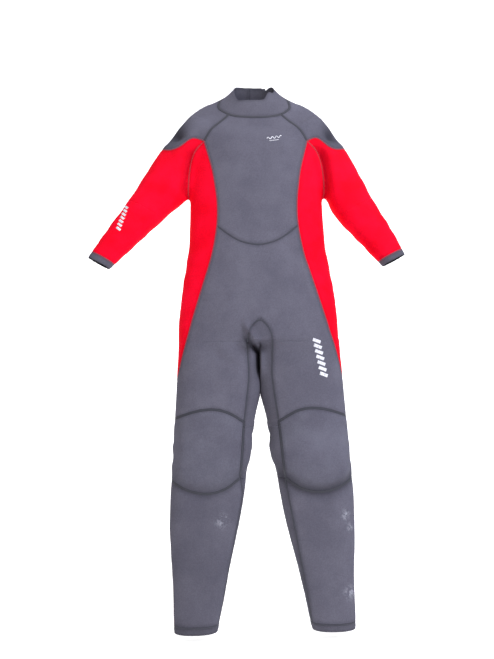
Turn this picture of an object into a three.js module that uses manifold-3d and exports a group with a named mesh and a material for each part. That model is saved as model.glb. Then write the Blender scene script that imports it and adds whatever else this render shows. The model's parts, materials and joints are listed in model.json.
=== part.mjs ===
// A full-length steamer wetsuit hanging empty, with its collar, back zip, knee pads and hems.
//
// Millimetres, +Z up, the front faces -Y and the wearer's left is +X. Heights are counted from the
// ankle hems; the whole suit is then lowered so that the hanger's point is the origin.
// One hollow skin is made from five tubes (trunk, two legs, two sleeves), and each panel of
// neoprene is the stretch of that skin that lies inside its pattern piece.
import * as THREE from "three";
import { mergeVertices } from "three/addons/utils/BufferGeometryUtils.js";
import Module from "manifold-3d";

const wasm = await Module();
wasm.setup();

// ---- Driving dimensions ------------------------------------------------------------------
const WALL = 3; // neoprene thickness
const SEAM_GAP = 0.4; // free space between two panels at a seam
const HANGER_HEIGHT = 1380; // where the hanger carries the shoulders, above the ankle hems
const FAR = 600; // beyond every side of the suit
const HIGH = 1600; // above the whole suit
const LOW = -100; // below the whole suit

const HIP_HEIGHT = 690; // crotch, and the hinge line of the hips
const THIGH_HEIGHT = 600; // below this the thigh keeps its shape when the hip bends
const ANKLE_HEM_HEIGHT = 16;
const ZIP_BOTTOM = 970;
const ZIP_TOP = 1415;
const TAPE_HALF = 17; // half the width of the open zip slot, filled by the two tapes
const CHAIN_HALF = 3.6; // half the width of the closed chain of teeth
const STOP_HEIGHT = 8;
const BACK_Y = 52; // the back runs straight down along the zip

const RED = { color: 0xe8112d, roughness: 0.72, metalness: 0 };
const GREY = { color: 0x73727e, roughness: 0.8, metalness: 0 };
const DARK = { color: 0x3c3e45, roughness: 0.85, metalness: 0 };
const BLACK = { color: 0x16171a, roughness: 0.6, metalness: 0 };
const TOOTH = { color: 0x24252a, roughness: 0.4, metalness: 0 };
const STEEL = { color: 0x9a9da3, roughness: 0.35, metalness: 0.9 };

// ---- Solids ------------------------------------------------------------------------------
function solid(geometry) {
  const bare = geometry.index ? geometry.toNonIndexed() : geometry.clone();
  bare.deleteAttribute("normal");
  bare.deleteAttribute("uv");
  const merged = mergeVertices(bare, 1e-3);
  return new wasm.Manifold(
    new wasm.Mesh({
      numProp: 3,
      vertProperties: new Float32Array(merged.attributes.position.array),
      triVerts: new Uint32Array(merged.index.array),
    }),
  );
}

function geometryOf(body) {
  const mesh = body.getMesh();
  const geometry = new THREE.BufferGeometry();
  geometry.setAttribute("position", new THREE.BufferAttribute(new Float32Array(mesh.vertProperties), 3));
  geometry.setIndex(new THREE.BufferAttribute(new Uint32Array(mesh.triVerts), 1));
  geometry.computeVertexNormals();
  return geometry;
}

// A pattern piece: an outline of [x, height] points, cut through the suit from y = near to y = far.
function patternSolid(outline, near = -FAR, far = FAR) {
  const shape = new THREE.Shape(outline.map(([x, z]) => new THREE.Vector2(x, z)));
  const geometry = new THREE.ExtrudeGeometry(shape, { depth: far - near, bevelEnabled: false });
  geometry.rotateX(Math.PI / 2);
  geometry.translate(0, far, 0);
  return solid(geometry);
}

// The same for an outline of [y, height] points, cut from side to side.
function profileSolid(outline, halfWidth = FAR) {
  const shape = new THREE.Shape(outline.map(([y, z]) => new THREE.Vector2(y, z)));
  const geometry = new THREE.ExtrudeGeometry(shape, { depth: 2 * halfWidth, bevelEnabled: false });
  geometry.translate(0, 0, -halfWidth);
  geometry.applyMatrix4(new THREE.Matrix4().set(0, 0, 1, 0, 1, 0, 0, 0, 0, 1, 0, 0, 0, 0, 0, 1));
  return solid(geometry);
}

const SHARPEST = 0.3; // limits how far a sharp corner of an outline moves when it is inset

// The outline moved inwards by half a seam gap, so that neighbours never touch.
function insetOutline(outline, by = SEAM_GAP / 2) {
  const points = outline.map(([x, z]) => new THREE.Vector2(x, z));
  const turn = THREE.ShapeUtils.isClockWise(points) ? -1 : 1;
  return points.map((point, i) => {
    const before = points[(i + points.length - 1) % points.length];
    const after = points[(i + 1) % points.length];
    const arriving = point.clone().sub(before).normalize();
    const leaving = after.clone().sub(point).normalize();
    const inward = new THREE.Vector2(-arriving.y - leaving.y, arriving.x + leaving.x).normalize();
    const lean = Math.max(SHARPEST, inward.dot(new THREE.Vector2(-leaving.y, leaving.x)));
    return point.clone().addScaledVector(inward, (turn * by) / lean).toArray();
  });
}

// A closed tube through stations, each { centre, across, front, back, drop, rise }: across is half
// the width as a vector, front and back reach along Y, and the front half may hang lower (drop)
// or the back half higher (rise) than the sides.
function tubeSolid(stations, sides, squareness) {
  const geometry = new THREE.CylinderGeometry(1, 1, 1, sides, stations.length - 1);
  const place = geometry.attributes.position;
  const soften = (value) => Math.sign(value) * Math.abs(value) ** squareness;
  for (let i = 0; i < place.count; i++) {
    const index = Math.round((place.getY(i) + 0.5) * (stations.length - 1));
    const { centre, across, front, back, drop = 0, rise = 0 } = stations[index];
    const side = soften(place.getX(i));
    const depth = soften(place.getZ(i));
    const point = centre.clone().addScaledVector(across, side);
    point.y -= depth > 0 ? depth * front : depth * back;
    point.z -= depth > 0 ? depth * drop : depth * rise;
    place.setXYZ(i, point.x, point.y, point.z);
  }
  return solid(geometry);
}

const OPEN_PAST = 14; // how far the hollow runs on past an open end

// The same tube one wall thickness smaller, running on past each open end.
function hollowOf(stations, openStart, openEnd) {
  const inner = stations.map((station, i) => {
    const before = stations[Math.max(i - 1, 0)];
    const after = stations[Math.min(i + 1, stations.length - 1)];
    const run = after.centre.distanceTo(before.centre);
    const taper = after.across.length() - before.across.length();
    const slant = Math.hypot(run, taper);
    const along = after.centre.clone().sub(before.centre).normalize();
    return {
      ...station,
      centre: station.centre.clone().addScaledVector(along, (WALL * taper) / slant),
      across: station.across.clone().setLength(station.across.length() - (WALL * run) / slant),
      front: station.front - WALL,
      back: station.back - WALL,
    };
  });
  const extend = (end, next, by) => {
    const out = end.centre.clone().sub(next.centre).setLength(by);
    return { ...end, centre: end.centre.clone().add(out) };
  };
  if (openStart) inner.unshift(extend(inner[0], inner[1], OPEN_PAST));
  else inner[0].centre.z += WALL;
  if (openEnd) inner.push(extend(inner.at(-1), inner.at(-2), OPEN_PAST));
  return inner;
}

// ---- The five tubes ----------------------------------------------------------------------
// [height, half width, front reach, back reach, front drop, back rise]
const TRUNK = [
  [HIP_HEIGHT, 214, 60, 68],
  [760, 213, 62, 74],
  [850, 203, 60, 66],
  [960, 186, 58, BACK_Y],
  [1085, 184, 66, BACK_Y],
  [1240, 188, 69, BACK_Y],
  [1300, 196, 64, BACK_Y, 32],
  [1335, 197, 59, BACK_Y, 56],
  [1365, 178, 54, BACK_Y, 79],
  [1390, 140, 50, BACK_Y, 98],
  [1410, 104, 48, BACK_Y, 108],
  [1424, 76, 46, BACK_Y - 3, 112],
  [1452, 57, 31, 10, 64, 10],
].map(([height, half, front, back, drop, rise]) => ({
  centre: new THREE.Vector3(0, 0, height),
  across: new THREE.Vector3(half, 0, 0),
  front,
  back,
  drop,
  rise,
}));

// [height, inner edge, outer edge, front reach, back reach]
const LEG = [
  [0, 112, 219, 27, 28],
  [127, 85.5, 223, 29, 36],
  [238, 58.5, 231, 32, 46],
  [314, 44.5, 231, 38, 44],
  [400, 32, 225, 47, 38],
  [500, 14, 221, 51, 45],
  [585, 1.5, 217, 55, 57],
  [HIP_HEIGHT + 12, 1.5, 213, 55, 66],
];
const legStations = (side) =>
  LEG.map(([height, inner, outer, front, back]) => ({
    centre: new THREE.Vector3((side * (inner + outer)) / 2, 0, height),
    across: new THREE.Vector3((outer - inner) / 2, 0, 0),
    front,
    back,
  }));

// [x, y, height, half width, half depth]
const SLEEVE = [
  [137, 2, 1318, 60, 42],
  [172, 0, 1262, 66, 46],
  [208, -4, 1203, 66, 45],
  [243, -12, 1134, 63, 42],
  [287, -28, 1052, 53, 36],
  [322, -45, 996, 46, 31],
  [352, -62, 942, 39, 26],
  [378, -78, 893, 32, 22],
];
const SLEEVE_SWAY = 30; // the right cuff hangs this much further out than the pattern, the left one nearer
const swayOf = (side, height) => {
  const [top, cuff] = [SLEEVE[0][2], SLEEVE.at(-1)[2]];
  return side * SLEEVE_SWAY * ((top - height) / (top - cuff)) ** 3;
};
function sleeveStations(side) {
  const centres = SLEEVE.map(
    ([x, y, height]) => new THREE.Vector3(side * x - side * swayOf(side, height), y, height),
  );
  return SLEEVE.map(([, , , half, depth], i) => {
    const before = centres[Math.max(i - 1, 0)];
    const after = centres[Math.min(i + 1, centres.length - 1)];
    const along = after.clone().sub(before);
    along.y = 0;
    const across = new THREE.Vector3(-along.z, 0, along.x).setLength(half);
    return { centre: centres[i], across, front: depth, back: depth };
  });
}

const TRUNK_SIDES = 20;
const LEG_SIDES = 12;
const SLEEVE_SIDES = 10;
const SQUARE = 0.86; // below 1 the section is squarer than an ellipse
const SIDES = { left: 1, right: -1 };
const sleeves = { left: sleeveStations(1), right: sleeveStations(-1) };

function skinOf() {
  let outside = tubeSolid(TRUNK, TRUNK_SIDES, SQUARE);
  let inside = tubeSolid(hollowOf(TRUNK, false, true), TRUNK_SIDES, SQUARE);
  for (const [name, side] of Object.entries(SIDES)) {
    const leg = legStations(side);
    const sleeve = [...sleeves[name]].reverse();
    outside = outside.add(tubeSolid(leg, LEG_SIDES, SQUARE));
    outside = outside.add(tubeSolid(sleeve, SLEEVE_SIDES, SQUARE));
    inside = inside.add(tubeSolid(hollowOf(leg, true, false), LEG_SIDES, SQUARE));
    inside = inside.add(tubeSolid(hollowOf(sleeve, true, false), SLEEVE_SIDES, SQUARE));
  }
  return outside.subtract(inside);
}
const skin = skinOf();

// ---- Seam lines, as [x, height] on the left half of the suit --------------------------------
const SIDE_SEAM = [
  [142, 1250],
  [118, 1160],
  [105.5, 1070],
  [106, 1010],
  [119, 930],
  [132, 886],
  [157, 805],
  [179, 731],
  [191, HIP_HEIGHT],
];
const RAGLAN_SEAM = [
  [40, 1470],
  [68, 1345],
  [122, 1290],
  [142, 1250],
];
const SLEEVE_BORDER = [
  [142, 1250],
  [168, 1270],
  [185, 1262],
  [195, 1240],
  [216, 1222],
  [236, 1222],
  [300, 1270],
];
const BORDER_END_HEIGHT = SLEEVE_BORDER.at(-1)[1];
const HIP_EDGE = 240; // outside the hips, and short of the sleeves
const HIP_EDGE_TOP = 1000; // below the elbows
const TRUNK_EDGE = 188; // the trunk's side wall, below the armpits, stays inside this
const ARMPIT_HEIGHT = 1108;
const ARMHOLE = [
  [142, 1250],
  [174, 1222],
  [TRUNK_EDGE, ARMPIT_HEIGHT],
  [TRUNK_EDGE, 1040],
];
const WAIST_SEAM = [
  [-106, 1000],
  [-60, 962],
  [0, 946],
  [60, 962],
  [106, 1000],
];
const BACK_YOKE_HEIGHT = 925; // the back panels end and the seat panel starts
const GUSSET = [
  [0, 750],
  [30, 722],
  [33, HIP_HEIGHT],
];
const INNER_SEAM = [
  [33, HIP_HEIGHT],
  [28, 604],
  [44, 483],
  [50, 398],
  [57, 343],
  [79, 220],
  [104, 69],
  [112, ANKLE_HEM_HEIGHT],
];
const KNEE_TOP = [
  [36, 484],
  [80, 514],
  [118, 524],
  [165, 518],
  [240, 494],
];
const KNEE_BOTTOM = [
  [52, 356],
  [90, 326],
  [140, 315],
  [190, 328],
  [245, 358],
];
const CALF_SIDE_SEAM = [
  [214, 330],
  [214, 200],
  [208, ANKLE_HEM_HEIGHT],
];

const flip = (points) => points.map(([x, z]) => [-x, z]);
const back = (points) => [...points].reverse();
const rectangle = (left, right, low, high) => [
  [left, low],
  [right, low],
  [right, high],
  [left, high],
];
const sided = (points, side) => (side > 0 ? points : flip(points));

// Height of a seam line at a given x, and its x at a given height.
function along(line, value, from, to) {
  for (let i = 1; i < line.length; i++) {
    const [a, b] = [line[i - 1], line[i]];
    const share = (value - a[from]) / (b[from] - a[from]);
    if (share >= 0 && share <= 1) return a[to] + share * (b[to] - a[to]);
  }
  throw new Error(`no point at ${value}`);
}
const xAt = (line, height) => along(line, height, 1, 0);
const part = (line, low, high) => [
  [xAt(line, high), high],
  ...line.filter(([, z]) => z < high && z > low),
  [xAt(line, low), low],
];

// ---- Scene graph ---------------------------------------------------------------------------
const suit = new THREE.Group();
suit.position.z = -HANGER_HEIGHT;

function addPanel(name, body, look) {
  const mesh = new THREE.Mesh(geometryOf(body), new THREE.MeshStandardMaterial(look));
  mesh.name = name;
  suit.add(mesh);
}
const HALF_GAP = SEAM_GAP / 2;
const cut = (source, outline, near, far) =>
  source.intersect(patternSolid(insetOutline(outline), near, far));

// ---- Collar ---------------------------------------------------------------------------------
// Its seam, as [y, height]: low in front, rising past the sides of the neck to the nape.
const NAPE_HEIGHT = 1428;
const COLLAR_SEAM = [
  [-FAR, 1318],
  [-60, 1318],
  [-46, 1326],
  [-20, 1372],
  [0, NAPE_HEIGHT],
  [FAR, NAPE_HEIGHT],
];
const collarZone = (lift) =>
  profileSolid([
    ...COLLAR_SEAM.map(([y, z]) => [y, z + lift]),
    [FAR, HIGH],
    [-FAR, HIGH],
  ]);
const neck = skin.intersect(collarZone(HALF_GAP));
const trunk = skin.subtract(collarZone(-HALF_GAP));
const COLLAR_SIDE_Y = 6; // the front collar panel ends here, behind the ears
const COLLAR_OVERLAP_X = -14; // the two back ends of the collar meet here
const collarFront = patternSolid(rectangle(-FAR, FAR, LOW, HIGH), -FAR, COLLAR_SIDE_Y);
addPanel("collar_front", neck.intersect(collarFront), DARK);
for (const [name, far] of [["left", FAR], ["right", -FAR]]) {
  const ends = [COLLAR_OVERLAP_X, far].sort((a, b) => a - b);
  const outline = rectangle(...ends, LOW, HIGH);
  addPanel(`collar_back_${name}`, cut(neck, outline, COLLAR_SIDE_Y + SEAM_GAP, FAR), DARK);
}

// The closing tab: a strap of hook and loop laid over the back of the collar.
const TAB = { left: 34, right: -40, low: 1432, high: 1458, clear: 0.5, thick: 2.4 };
const NECK_STATIONS = 4; // the collar and its foot
const grown = (by) =>
  tubeSolid(
    TRUNK.slice(-NECK_STATIONS).map((station) => ({
      ...station,
      across: station.across.clone().setLength(station.across.length() + by),
      front: station.front + by,
      back: station.back + by,
    })),
    TRUNK_SIDES,
    SQUARE,
  );
const tabInside = TAB.clear + WALL;
const tabLayer = grown(tabInside + TAB.thick).subtract(grown(tabInside));
const tabOutline = rectangle(TAB.right, TAB.left, TAB.low, TAB.high);
addPanel("collar_tab", tabLayer.intersect(patternSolid(tabOutline, 0, FAR)), BLACK);

// ---- Trunk panels ------------------------------------------------------------------------------
const SIDE_Y = 0; // front and back panels meet on this plane where no side panel parts them
const frontOf = [-FAR, SIDE_Y - HALF_GAP];
const rearOf = [SIDE_Y + HALF_GAP, FAR];

const WAIST_END_HEIGHT = WAIST_SEAM[0][1]; // where the waist seam runs into the side seams
const ARMHOLE_TOP = ARMHOLE[0][1];
const chestSide = part(SIDE_SEAM, WAIST_END_HEIGHT, ARMHOLE_TOP);
const chestOutline = [
  ...WAIST_SEAM,
  ...back(chestSide).slice(1),
  ...back(RAGLAN_SEAM).slice(1),
  ...flip(RAGLAN_SEAM),
  ...flip(chestSide).slice(1, -1),
];
addPanel("chest_panel", cut(trunk, chestOutline, ...frontOf), GREY);

const lowerSide = part(SIDE_SEAM, HIP_HEIGHT, WAIST_END_HEIGHT);
const lowerFrontOutline = [
  ...WAIST_SEAM,
  ...lowerSide.slice(1),
  ...back(GUSSET),
  ...flip(GUSSET).slice(1),
  ...back(flip(lowerSide)).slice(0, -1),
];
addPanel("lower_front_panel", cut(trunk, lowerFrontOutline, ...frontOf), GREY);

const gussetOutline = [...GUSSET, ...back(flip(GUSSET)).slice(0, -1)];
addPanel("crotch_gusset", cut(trunk, gussetOutline), DARK);

const seatSide = part(SIDE_SEAM, HIP_HEIGHT, BACK_YOKE_HEIGHT);
const seatOutline = [
  ...flip(seatSide).slice(0, 1),
  ...seatSide,
  ...back(GUSSET),
  ...flip(GUSSET).slice(1),
  ...back(flip(seatSide)).slice(0, -1),
];
addPanel("seat_panel", cut(trunk, seatOutline, ...rearOf), GREY);

for (const [name, side] of Object.entries(SIDES)) {
  const backOutline = [
    [0, BACK_YOKE_HEIGHT],
    [0, ZIP_BOTTOM],
    [TAPE_HALF, ZIP_BOTTOM],
    [TAPE_HALF, ZIP_TOP],
    [0, ZIP_TOP],
    [0, HIGH],
    ...RAGLAN_SEAM.slice(0, -1),
    ...part(SIDE_SEAM, BACK_YOKE_HEIGHT, ARMHOLE_TOP),
  ];
  addPanel(`back_panel_${name}`, cut(trunk, sided(backOutline, side), ...rearOf), GREY);

  const sideOutline = [
    ...SIDE_SEAM,
    [HIP_EDGE, HIP_HEIGHT],
    [HIP_EDGE, HIP_EDGE_TOP],
    ...back(ARMHOLE).slice(0, -1),
  ];
  addPanel(`side_panel_${name}`, cut(trunk, sided(sideOutline, side)), RED);

  const shoulderOutline = [
    ...RAGLAN_SEAM,
    ...SLEEVE_BORDER.slice(1),
    [FAR, BORDER_END_HEIGHT],
    [FAR, HIGH],
    [RAGLAN_SEAM[0][0], HIGH],
  ];
  addPanel(`shoulder_panel_${name}`, cut(trunk, sided(shoulderOutline, side)), GREY);
}

// ---- Zip -----------------------------------------------------------------------------------------
const STOP_TOP = ZIP_BOTTOM + STOP_HEIGHT;
for (const [name, side] of Object.entries(SIDES)) {
  const strip = (near, far) => sided(rectangle(near, far, STOP_TOP, ZIP_TOP), side);
  addPanel(`zip_tape_${name}`, cut(trunk, strip(CHAIN_HALF, TAPE_HALF), ...rearOf), BLACK);
  addPanel(`zip_chain_${name}`, cut(trunk, strip(0, CHAIN_HALF), ...rearOf), TOOTH);
}
const stopOutline = rectangle(-TAPE_HALF, TAPE_HALF, ZIP_BOTTOM, STOP_TOP);
addPanel("zip_bottom_stop", cut(trunk, stopOutline, ...rearOf), BLACK);

// The slider and its puller stand on the outside of the chain, the puller hanging down.
const SLIDER = { width: 11, height: 14, thick: 4.5, top: 1408, clear: 0.4 };
const EYE_BAR = { width: 5, height: 6, thick: 2.6, sunk: 1, above: 2 };
const PULLER = { width: 9, length: 38, thick: 2, hole: 4.2, edge: 1.6, drop: 1.7 };
const sliderY = BACK_Y + SLIDER.clear;
const sliderMiddle = SLIDER.top - SLIDER.height / 2;
const slider = new THREE.BoxGeometry(SLIDER.width, SLIDER.thick, SLIDER.height);
slider.translate(0, sliderY + SLIDER.thick / 2, sliderMiddle);
const eyeBarY = sliderY + SLIDER.thick;
const eyeBarHeight = sliderMiddle + EYE_BAR.above;
const eyeBar = new THREE.BoxGeometry(EYE_BAR.width, EYE_BAR.thick + EYE_BAR.sunk, EYE_BAR.height);
eyeBar.translate(0, eyeBarY + (EYE_BAR.thick - EYE_BAR.sunk) / 2, eyeBarHeight);
addPanel("zip_slider", solid(slider).add(solid(eyeBar)), STEEL);

const tip = PULLER.width / 2;
const tipMiddle = tip - PULLER.length;
const pullerShape = new THREE.Shape();
pullerShape.absarc(0, tipMiddle, tip, Math.PI, 2 * Math.PI);
pullerShape.lineTo(tip, 0);
pullerShape.lineTo(-tip, 0);
const pullerHole = new THREE.Path();
pullerHole.absarc(0, tipMiddle + PULLER.edge, PULLER.hole / 2, 0, 2 * Math.PI, true);
pullerShape.holes.push(pullerHole);
const puller = new THREE.ExtrudeGeometry(pullerShape, {
  depth: PULLER.thick,
  bevelEnabled: false,
  curveSegments: 6,
});
puller.rotateX(Math.PI / 2);
const pullerTop = eyeBarHeight - EYE_BAR.height / 2 - PULLER.drop;
puller.translate(0, eyeBarY + SLIDER.clear + PULLER.thick, pullerTop);
addPanel("zip_puller", solid(puller), STEEL);

// ---- Sleeves -----------------------------------------------------------------------------------------
const belowArmpits = rectangle(-TRUNK_EDGE, TRUNK_EDGE, LOW, ARMPIT_HEIGHT);
const armSkin = skin.subtract(patternSolid(belowArmpits));

// Cuts square to the sleeve, by station number: below the sleeve head, round the elbow, at the hem.
const SLEEVE_CUTS = { head: 3.42, elbowTop: 4.0, elbowEnd: 5.15, hem: 6.72, end: 7.3 };
const REACH = 1.7; // a cut reaches this many half widths from the sleeve's middle

function sleeveCut(stations, at) {
  const index = Math.min(Math.floor(at), stations.length - 2);
  const share = at - index;
  const [a, b] = [stations[index], stations[index + 1]];
  const centre = a.centre.clone().lerp(b.centre, share);
  const across = a.across.clone().lerp(b.across, share).multiplyScalar(REACH);
  return [centre.clone().sub(across), centre.clone().add(across)].map((point) => [point.x, point.z]);
}

for (const [name, side] of Object.entries(SIDES)) {
  const stations = sleeves[name];
  const line = (key) => sleeveCut(stations, SLEEVE_CUTS[key]);
  const between = (from, to) => {
    const [a, b] = [line(from), line(to)];
    return [a[0], a[1], b[1], b[0]];
  };
  const armhole = ARMHOLE.slice(0, -1);
  const [headInner, headOuter] = line("head").sort((a, b) => side * (a[0] - b[0]));
  const headOutline = [
    ...sided([...back(armhole), ...SLEEVE_BORDER.slice(1)], side),
    headOuter,
    headInner,
  ];
  addPanel(`sleeve_head_${name}`, cut(armSkin, headOutline), RED);
  addPanel(`upper_sleeve_${name}`, cut(armSkin, between("head", "elbowTop")), RED);
  addPanel(`elbow_${name}`, cut(armSkin, between("elbowTop", "elbowEnd")), RED);
  addPanel(`forearm_sleeve_${name}`, cut(armSkin, between("elbowEnd", "hem")), RED);
  addPanel(`cuff_hem_${name}`, cut(armSkin, between("hem", "end")), DARK);
}

// ---- Legs ----------------------------------------------------------------------------------------------
const INSIDE = 0.5; // just inside the gap between the thighs
const KNEE_TOP_INNER = along(KNEE_TOP, 44, 0, 1); // where the knee seams meet the inner seam
const KNEE_LOW_INNER = along(KNEE_BOTTOM, 56, 0, 1);
const KNEE_TOP_OUTER = KNEE_TOP.at(-1)[1];
const KNEE_LOW_OUTER = KNEE_BOTTOM.at(-1)[1];
for (const [name, side] of Object.entries(SIDES)) {
  const leg = (label, outline, look, reach = []) =>
    addPanel(`${label}_${name}`, cut(skin, sided(outline, side), ...reach), look);
  const inner = (low, high) => part(INNER_SEAM, low, high);
  const innerStrip = (low, high) => [...inner(low, high), [INSIDE, low], [INSIDE, high]];

  leg("thigh_top", rectangle(INSIDE, FAR, THIGH_HEIGHT, HIP_HEIGHT), GREY);
  const aboveKnee = [
    ...back(inner(KNEE_TOP_INNER, THIGH_HEIGHT)),
    [FAR, THIGH_HEIGHT],
    [FAR, KNEE_TOP_OUTER],
    ...back(KNEE_TOP).slice(0, -1),
  ];
  leg("thigh_front", aboveKnee, GREY, frontOf);
  leg("thigh_back", aboveKnee, GREY, rearOf);
  leg("inner_thigh", innerStrip(KNEE_TOP_INNER, THIGH_HEIGHT), DARK);

  const knee = [
    ...inner(KNEE_LOW_INNER, KNEE_TOP_INNER),
    ...KNEE_BOTTOM.slice(1),
    [FAR, KNEE_LOW_OUTER],
    [FAR, KNEE_TOP_OUTER],
    ...back(KNEE_TOP).slice(0, -1),
  ];
  leg("knee_pad", knee, BLACK, frontOf);
  leg("knee_back", knee, GREY, rearOf);
  leg("inner_knee", innerStrip(KNEE_LOW_INNER, KNEE_TOP_INNER), DARK);

  const belowKnee = [
    ...inner(ANKLE_HEM_HEIGHT, KNEE_LOW_INNER),
    [FAR, ANKLE_HEM_HEIGHT],
    [FAR, KNEE_LOW_OUTER],
    ...back(KNEE_BOTTOM).slice(0, -1),
  ];
  leg("shin_panel", belowKnee, GREY, frontOf);
  const calfSide = [...CALF_SIDE_SEAM, [FAR, ANKLE_HEM_HEIGHT], [FAR, CALF_SIDE_SEAM[0][1]]];
  const calfSideGrown = patternSolid(sided(insetOutline(calfSide, -HALF_GAP), side), SIDE_Y, FAR);
  const calf = cut(skin.subtract(calfSideGrown), sided(belowKnee, side), ...rearOf);
  addPanel(`calf_panel_${name}`, calf, GREY);
  leg("calf_side_panel", calfSide, RED, rearOf);
  leg("inner_calf", innerStrip(ANKLE_HEM_HEIGHT, KNEE_LOW_INNER), DARK);
  leg("ankle_hem", rectangle(INSIDE, FAR, LOW, ANKLE_HEM_HEIGHT), DARK);
}

export default suit;
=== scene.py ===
"""A full-length steamer wetsuit, hanging empty: sewn neoprene panels, collar, back zip, knee pads and hems.

Heights in this file are counted from the ankle hems, as a cutter lays the suit out; every finished
piece is lowered by HANGER at the end, so that the hanger's point is the origin of the frame.
"""

import json
import math

import bmesh
import bpy
import numpy as np
from mathutils import Matrix, Vector, noise
from mathutils.bvhtree import BVHTree
from mathutils.kdtree import KDTree

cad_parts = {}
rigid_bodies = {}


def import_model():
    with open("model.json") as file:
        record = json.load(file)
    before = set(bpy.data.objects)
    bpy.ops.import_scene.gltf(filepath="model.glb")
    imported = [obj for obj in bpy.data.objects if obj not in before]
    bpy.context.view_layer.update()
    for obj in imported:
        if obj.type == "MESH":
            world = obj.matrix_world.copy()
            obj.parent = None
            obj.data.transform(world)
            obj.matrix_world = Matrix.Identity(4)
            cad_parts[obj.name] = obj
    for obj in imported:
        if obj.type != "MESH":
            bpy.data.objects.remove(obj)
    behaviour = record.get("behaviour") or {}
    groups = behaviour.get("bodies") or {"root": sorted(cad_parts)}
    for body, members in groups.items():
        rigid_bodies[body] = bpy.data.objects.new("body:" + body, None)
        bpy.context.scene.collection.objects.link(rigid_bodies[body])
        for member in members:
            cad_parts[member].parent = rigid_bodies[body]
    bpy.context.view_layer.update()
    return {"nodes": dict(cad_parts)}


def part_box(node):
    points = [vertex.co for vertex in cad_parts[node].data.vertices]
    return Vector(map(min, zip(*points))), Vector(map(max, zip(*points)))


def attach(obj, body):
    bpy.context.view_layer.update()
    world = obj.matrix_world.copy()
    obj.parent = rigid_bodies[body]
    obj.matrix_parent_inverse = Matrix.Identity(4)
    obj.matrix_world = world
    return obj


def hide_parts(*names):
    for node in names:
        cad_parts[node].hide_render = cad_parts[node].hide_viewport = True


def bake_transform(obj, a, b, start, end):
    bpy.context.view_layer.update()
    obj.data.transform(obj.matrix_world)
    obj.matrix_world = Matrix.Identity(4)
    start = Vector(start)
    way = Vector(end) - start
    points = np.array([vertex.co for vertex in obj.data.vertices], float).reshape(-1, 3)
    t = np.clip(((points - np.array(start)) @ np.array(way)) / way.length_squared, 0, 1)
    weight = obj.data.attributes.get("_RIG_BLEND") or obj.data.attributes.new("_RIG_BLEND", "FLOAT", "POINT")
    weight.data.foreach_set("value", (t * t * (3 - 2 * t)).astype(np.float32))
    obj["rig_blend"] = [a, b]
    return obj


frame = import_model()

bl_info = {
    "name": "Steamer Wetsuit",
    "version": (1, 0, 0),
    "blender": (4, 5, 0),
    "location": "3D View > Sidebar > Wetsuit",
    "description": "Builds a full-length wetsuit from its tubes, seams and trims",
    "category": "Add Mesh",
}

SIDES = {"left": 1, "right": -1}
HANGER = 1.380

# ---- The suit's form: one trunk, two legs and two sleeves -------------------------------------
# height, half width, front reach, back reach, front drop, back rise
TRUNK = (
    (0.690, 0.214, 0.060, 0.068, 0.0, 0.0),
    (0.760, 0.213, 0.062, 0.074, 0.0, 0.0),
    (0.850, 0.203, 0.060, 0.066, 0.0, 0.0),
    (0.960, 0.186, 0.058, 0.052, 0.0, 0.0),
    (1.085, 0.184, 0.066, 0.052, 0.0, 0.0),
    (1.240, 0.188, 0.069, 0.052, 0.0, 0.0),
    (1.300, 0.196, 0.064, 0.052, 0.032, 0.0),
    (1.335, 0.205, 0.059, 0.052, 0.056, 0.0),
    (1.365, 0.189, 0.054, 0.052, 0.079, 0.0),
    (1.390, 0.149, 0.050, 0.052, 0.098, 0.0),
    (1.410, 0.104, 0.048, 0.052, 0.108, 0.0),
    (1.424, 0.076, 0.046, 0.049, 0.112, 0.0),
    (1.452, 0.057, 0.031, 0.010, 0.064, 0.010),
    (1.474, 0.050, 0.025, 0.004, 0.040, 0.012),
)
# height, inner edge, outer edge, front reach, back reach
LEG = (
    (-0.020, 0.115, 0.218, 0.027, 0.028),
    (0.0, 0.112, 0.219, 0.027, 0.028),
    (0.127, 0.0855, 0.223, 0.029, 0.036),
    (0.238, 0.0585, 0.231, 0.032, 0.046),
    (0.314, 0.0445, 0.231, 0.038, 0.044),
    (0.400, 0.032, 0.225, 0.047, 0.038),
    (0.500, 0.014, 0.221, 0.051, 0.045),
    (0.585, 0.0078, 0.217, 0.055, 0.057),
    (0.702, 0.0078, 0.213, 0.055, 0.066),
)
# x, y, height, half width, half depth
SLEEVE = (
    (0.137, 0.002, 1.318, 0.060, 0.042),
    (0.172, 0.000, 1.262, 0.066, 0.046),
    (0.208, -0.004, 1.203, 0.066, 0.045),
    (0.243, -0.012, 1.134, 0.063, 0.042),
    (0.287, -0.028, 1.052, 0.053, 0.036),
    (0.322, -0.045, 0.996, 0.046, 0.031),
    (0.352, -0.062, 0.942, 0.039, 0.026),
    (0.378, -0.078, 0.893, 0.032, 0.022),
    (0.389, -0.085, 0.872, 0.0295, 0.0205),
)
SLEEVE_SWAY = 0.030  # both sleeves swing this far to the wearer's right at the cuff
SQUARE = 0.86  # below 1 a section is squarer than an ellipse
RING_STEP = 0.012

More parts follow.
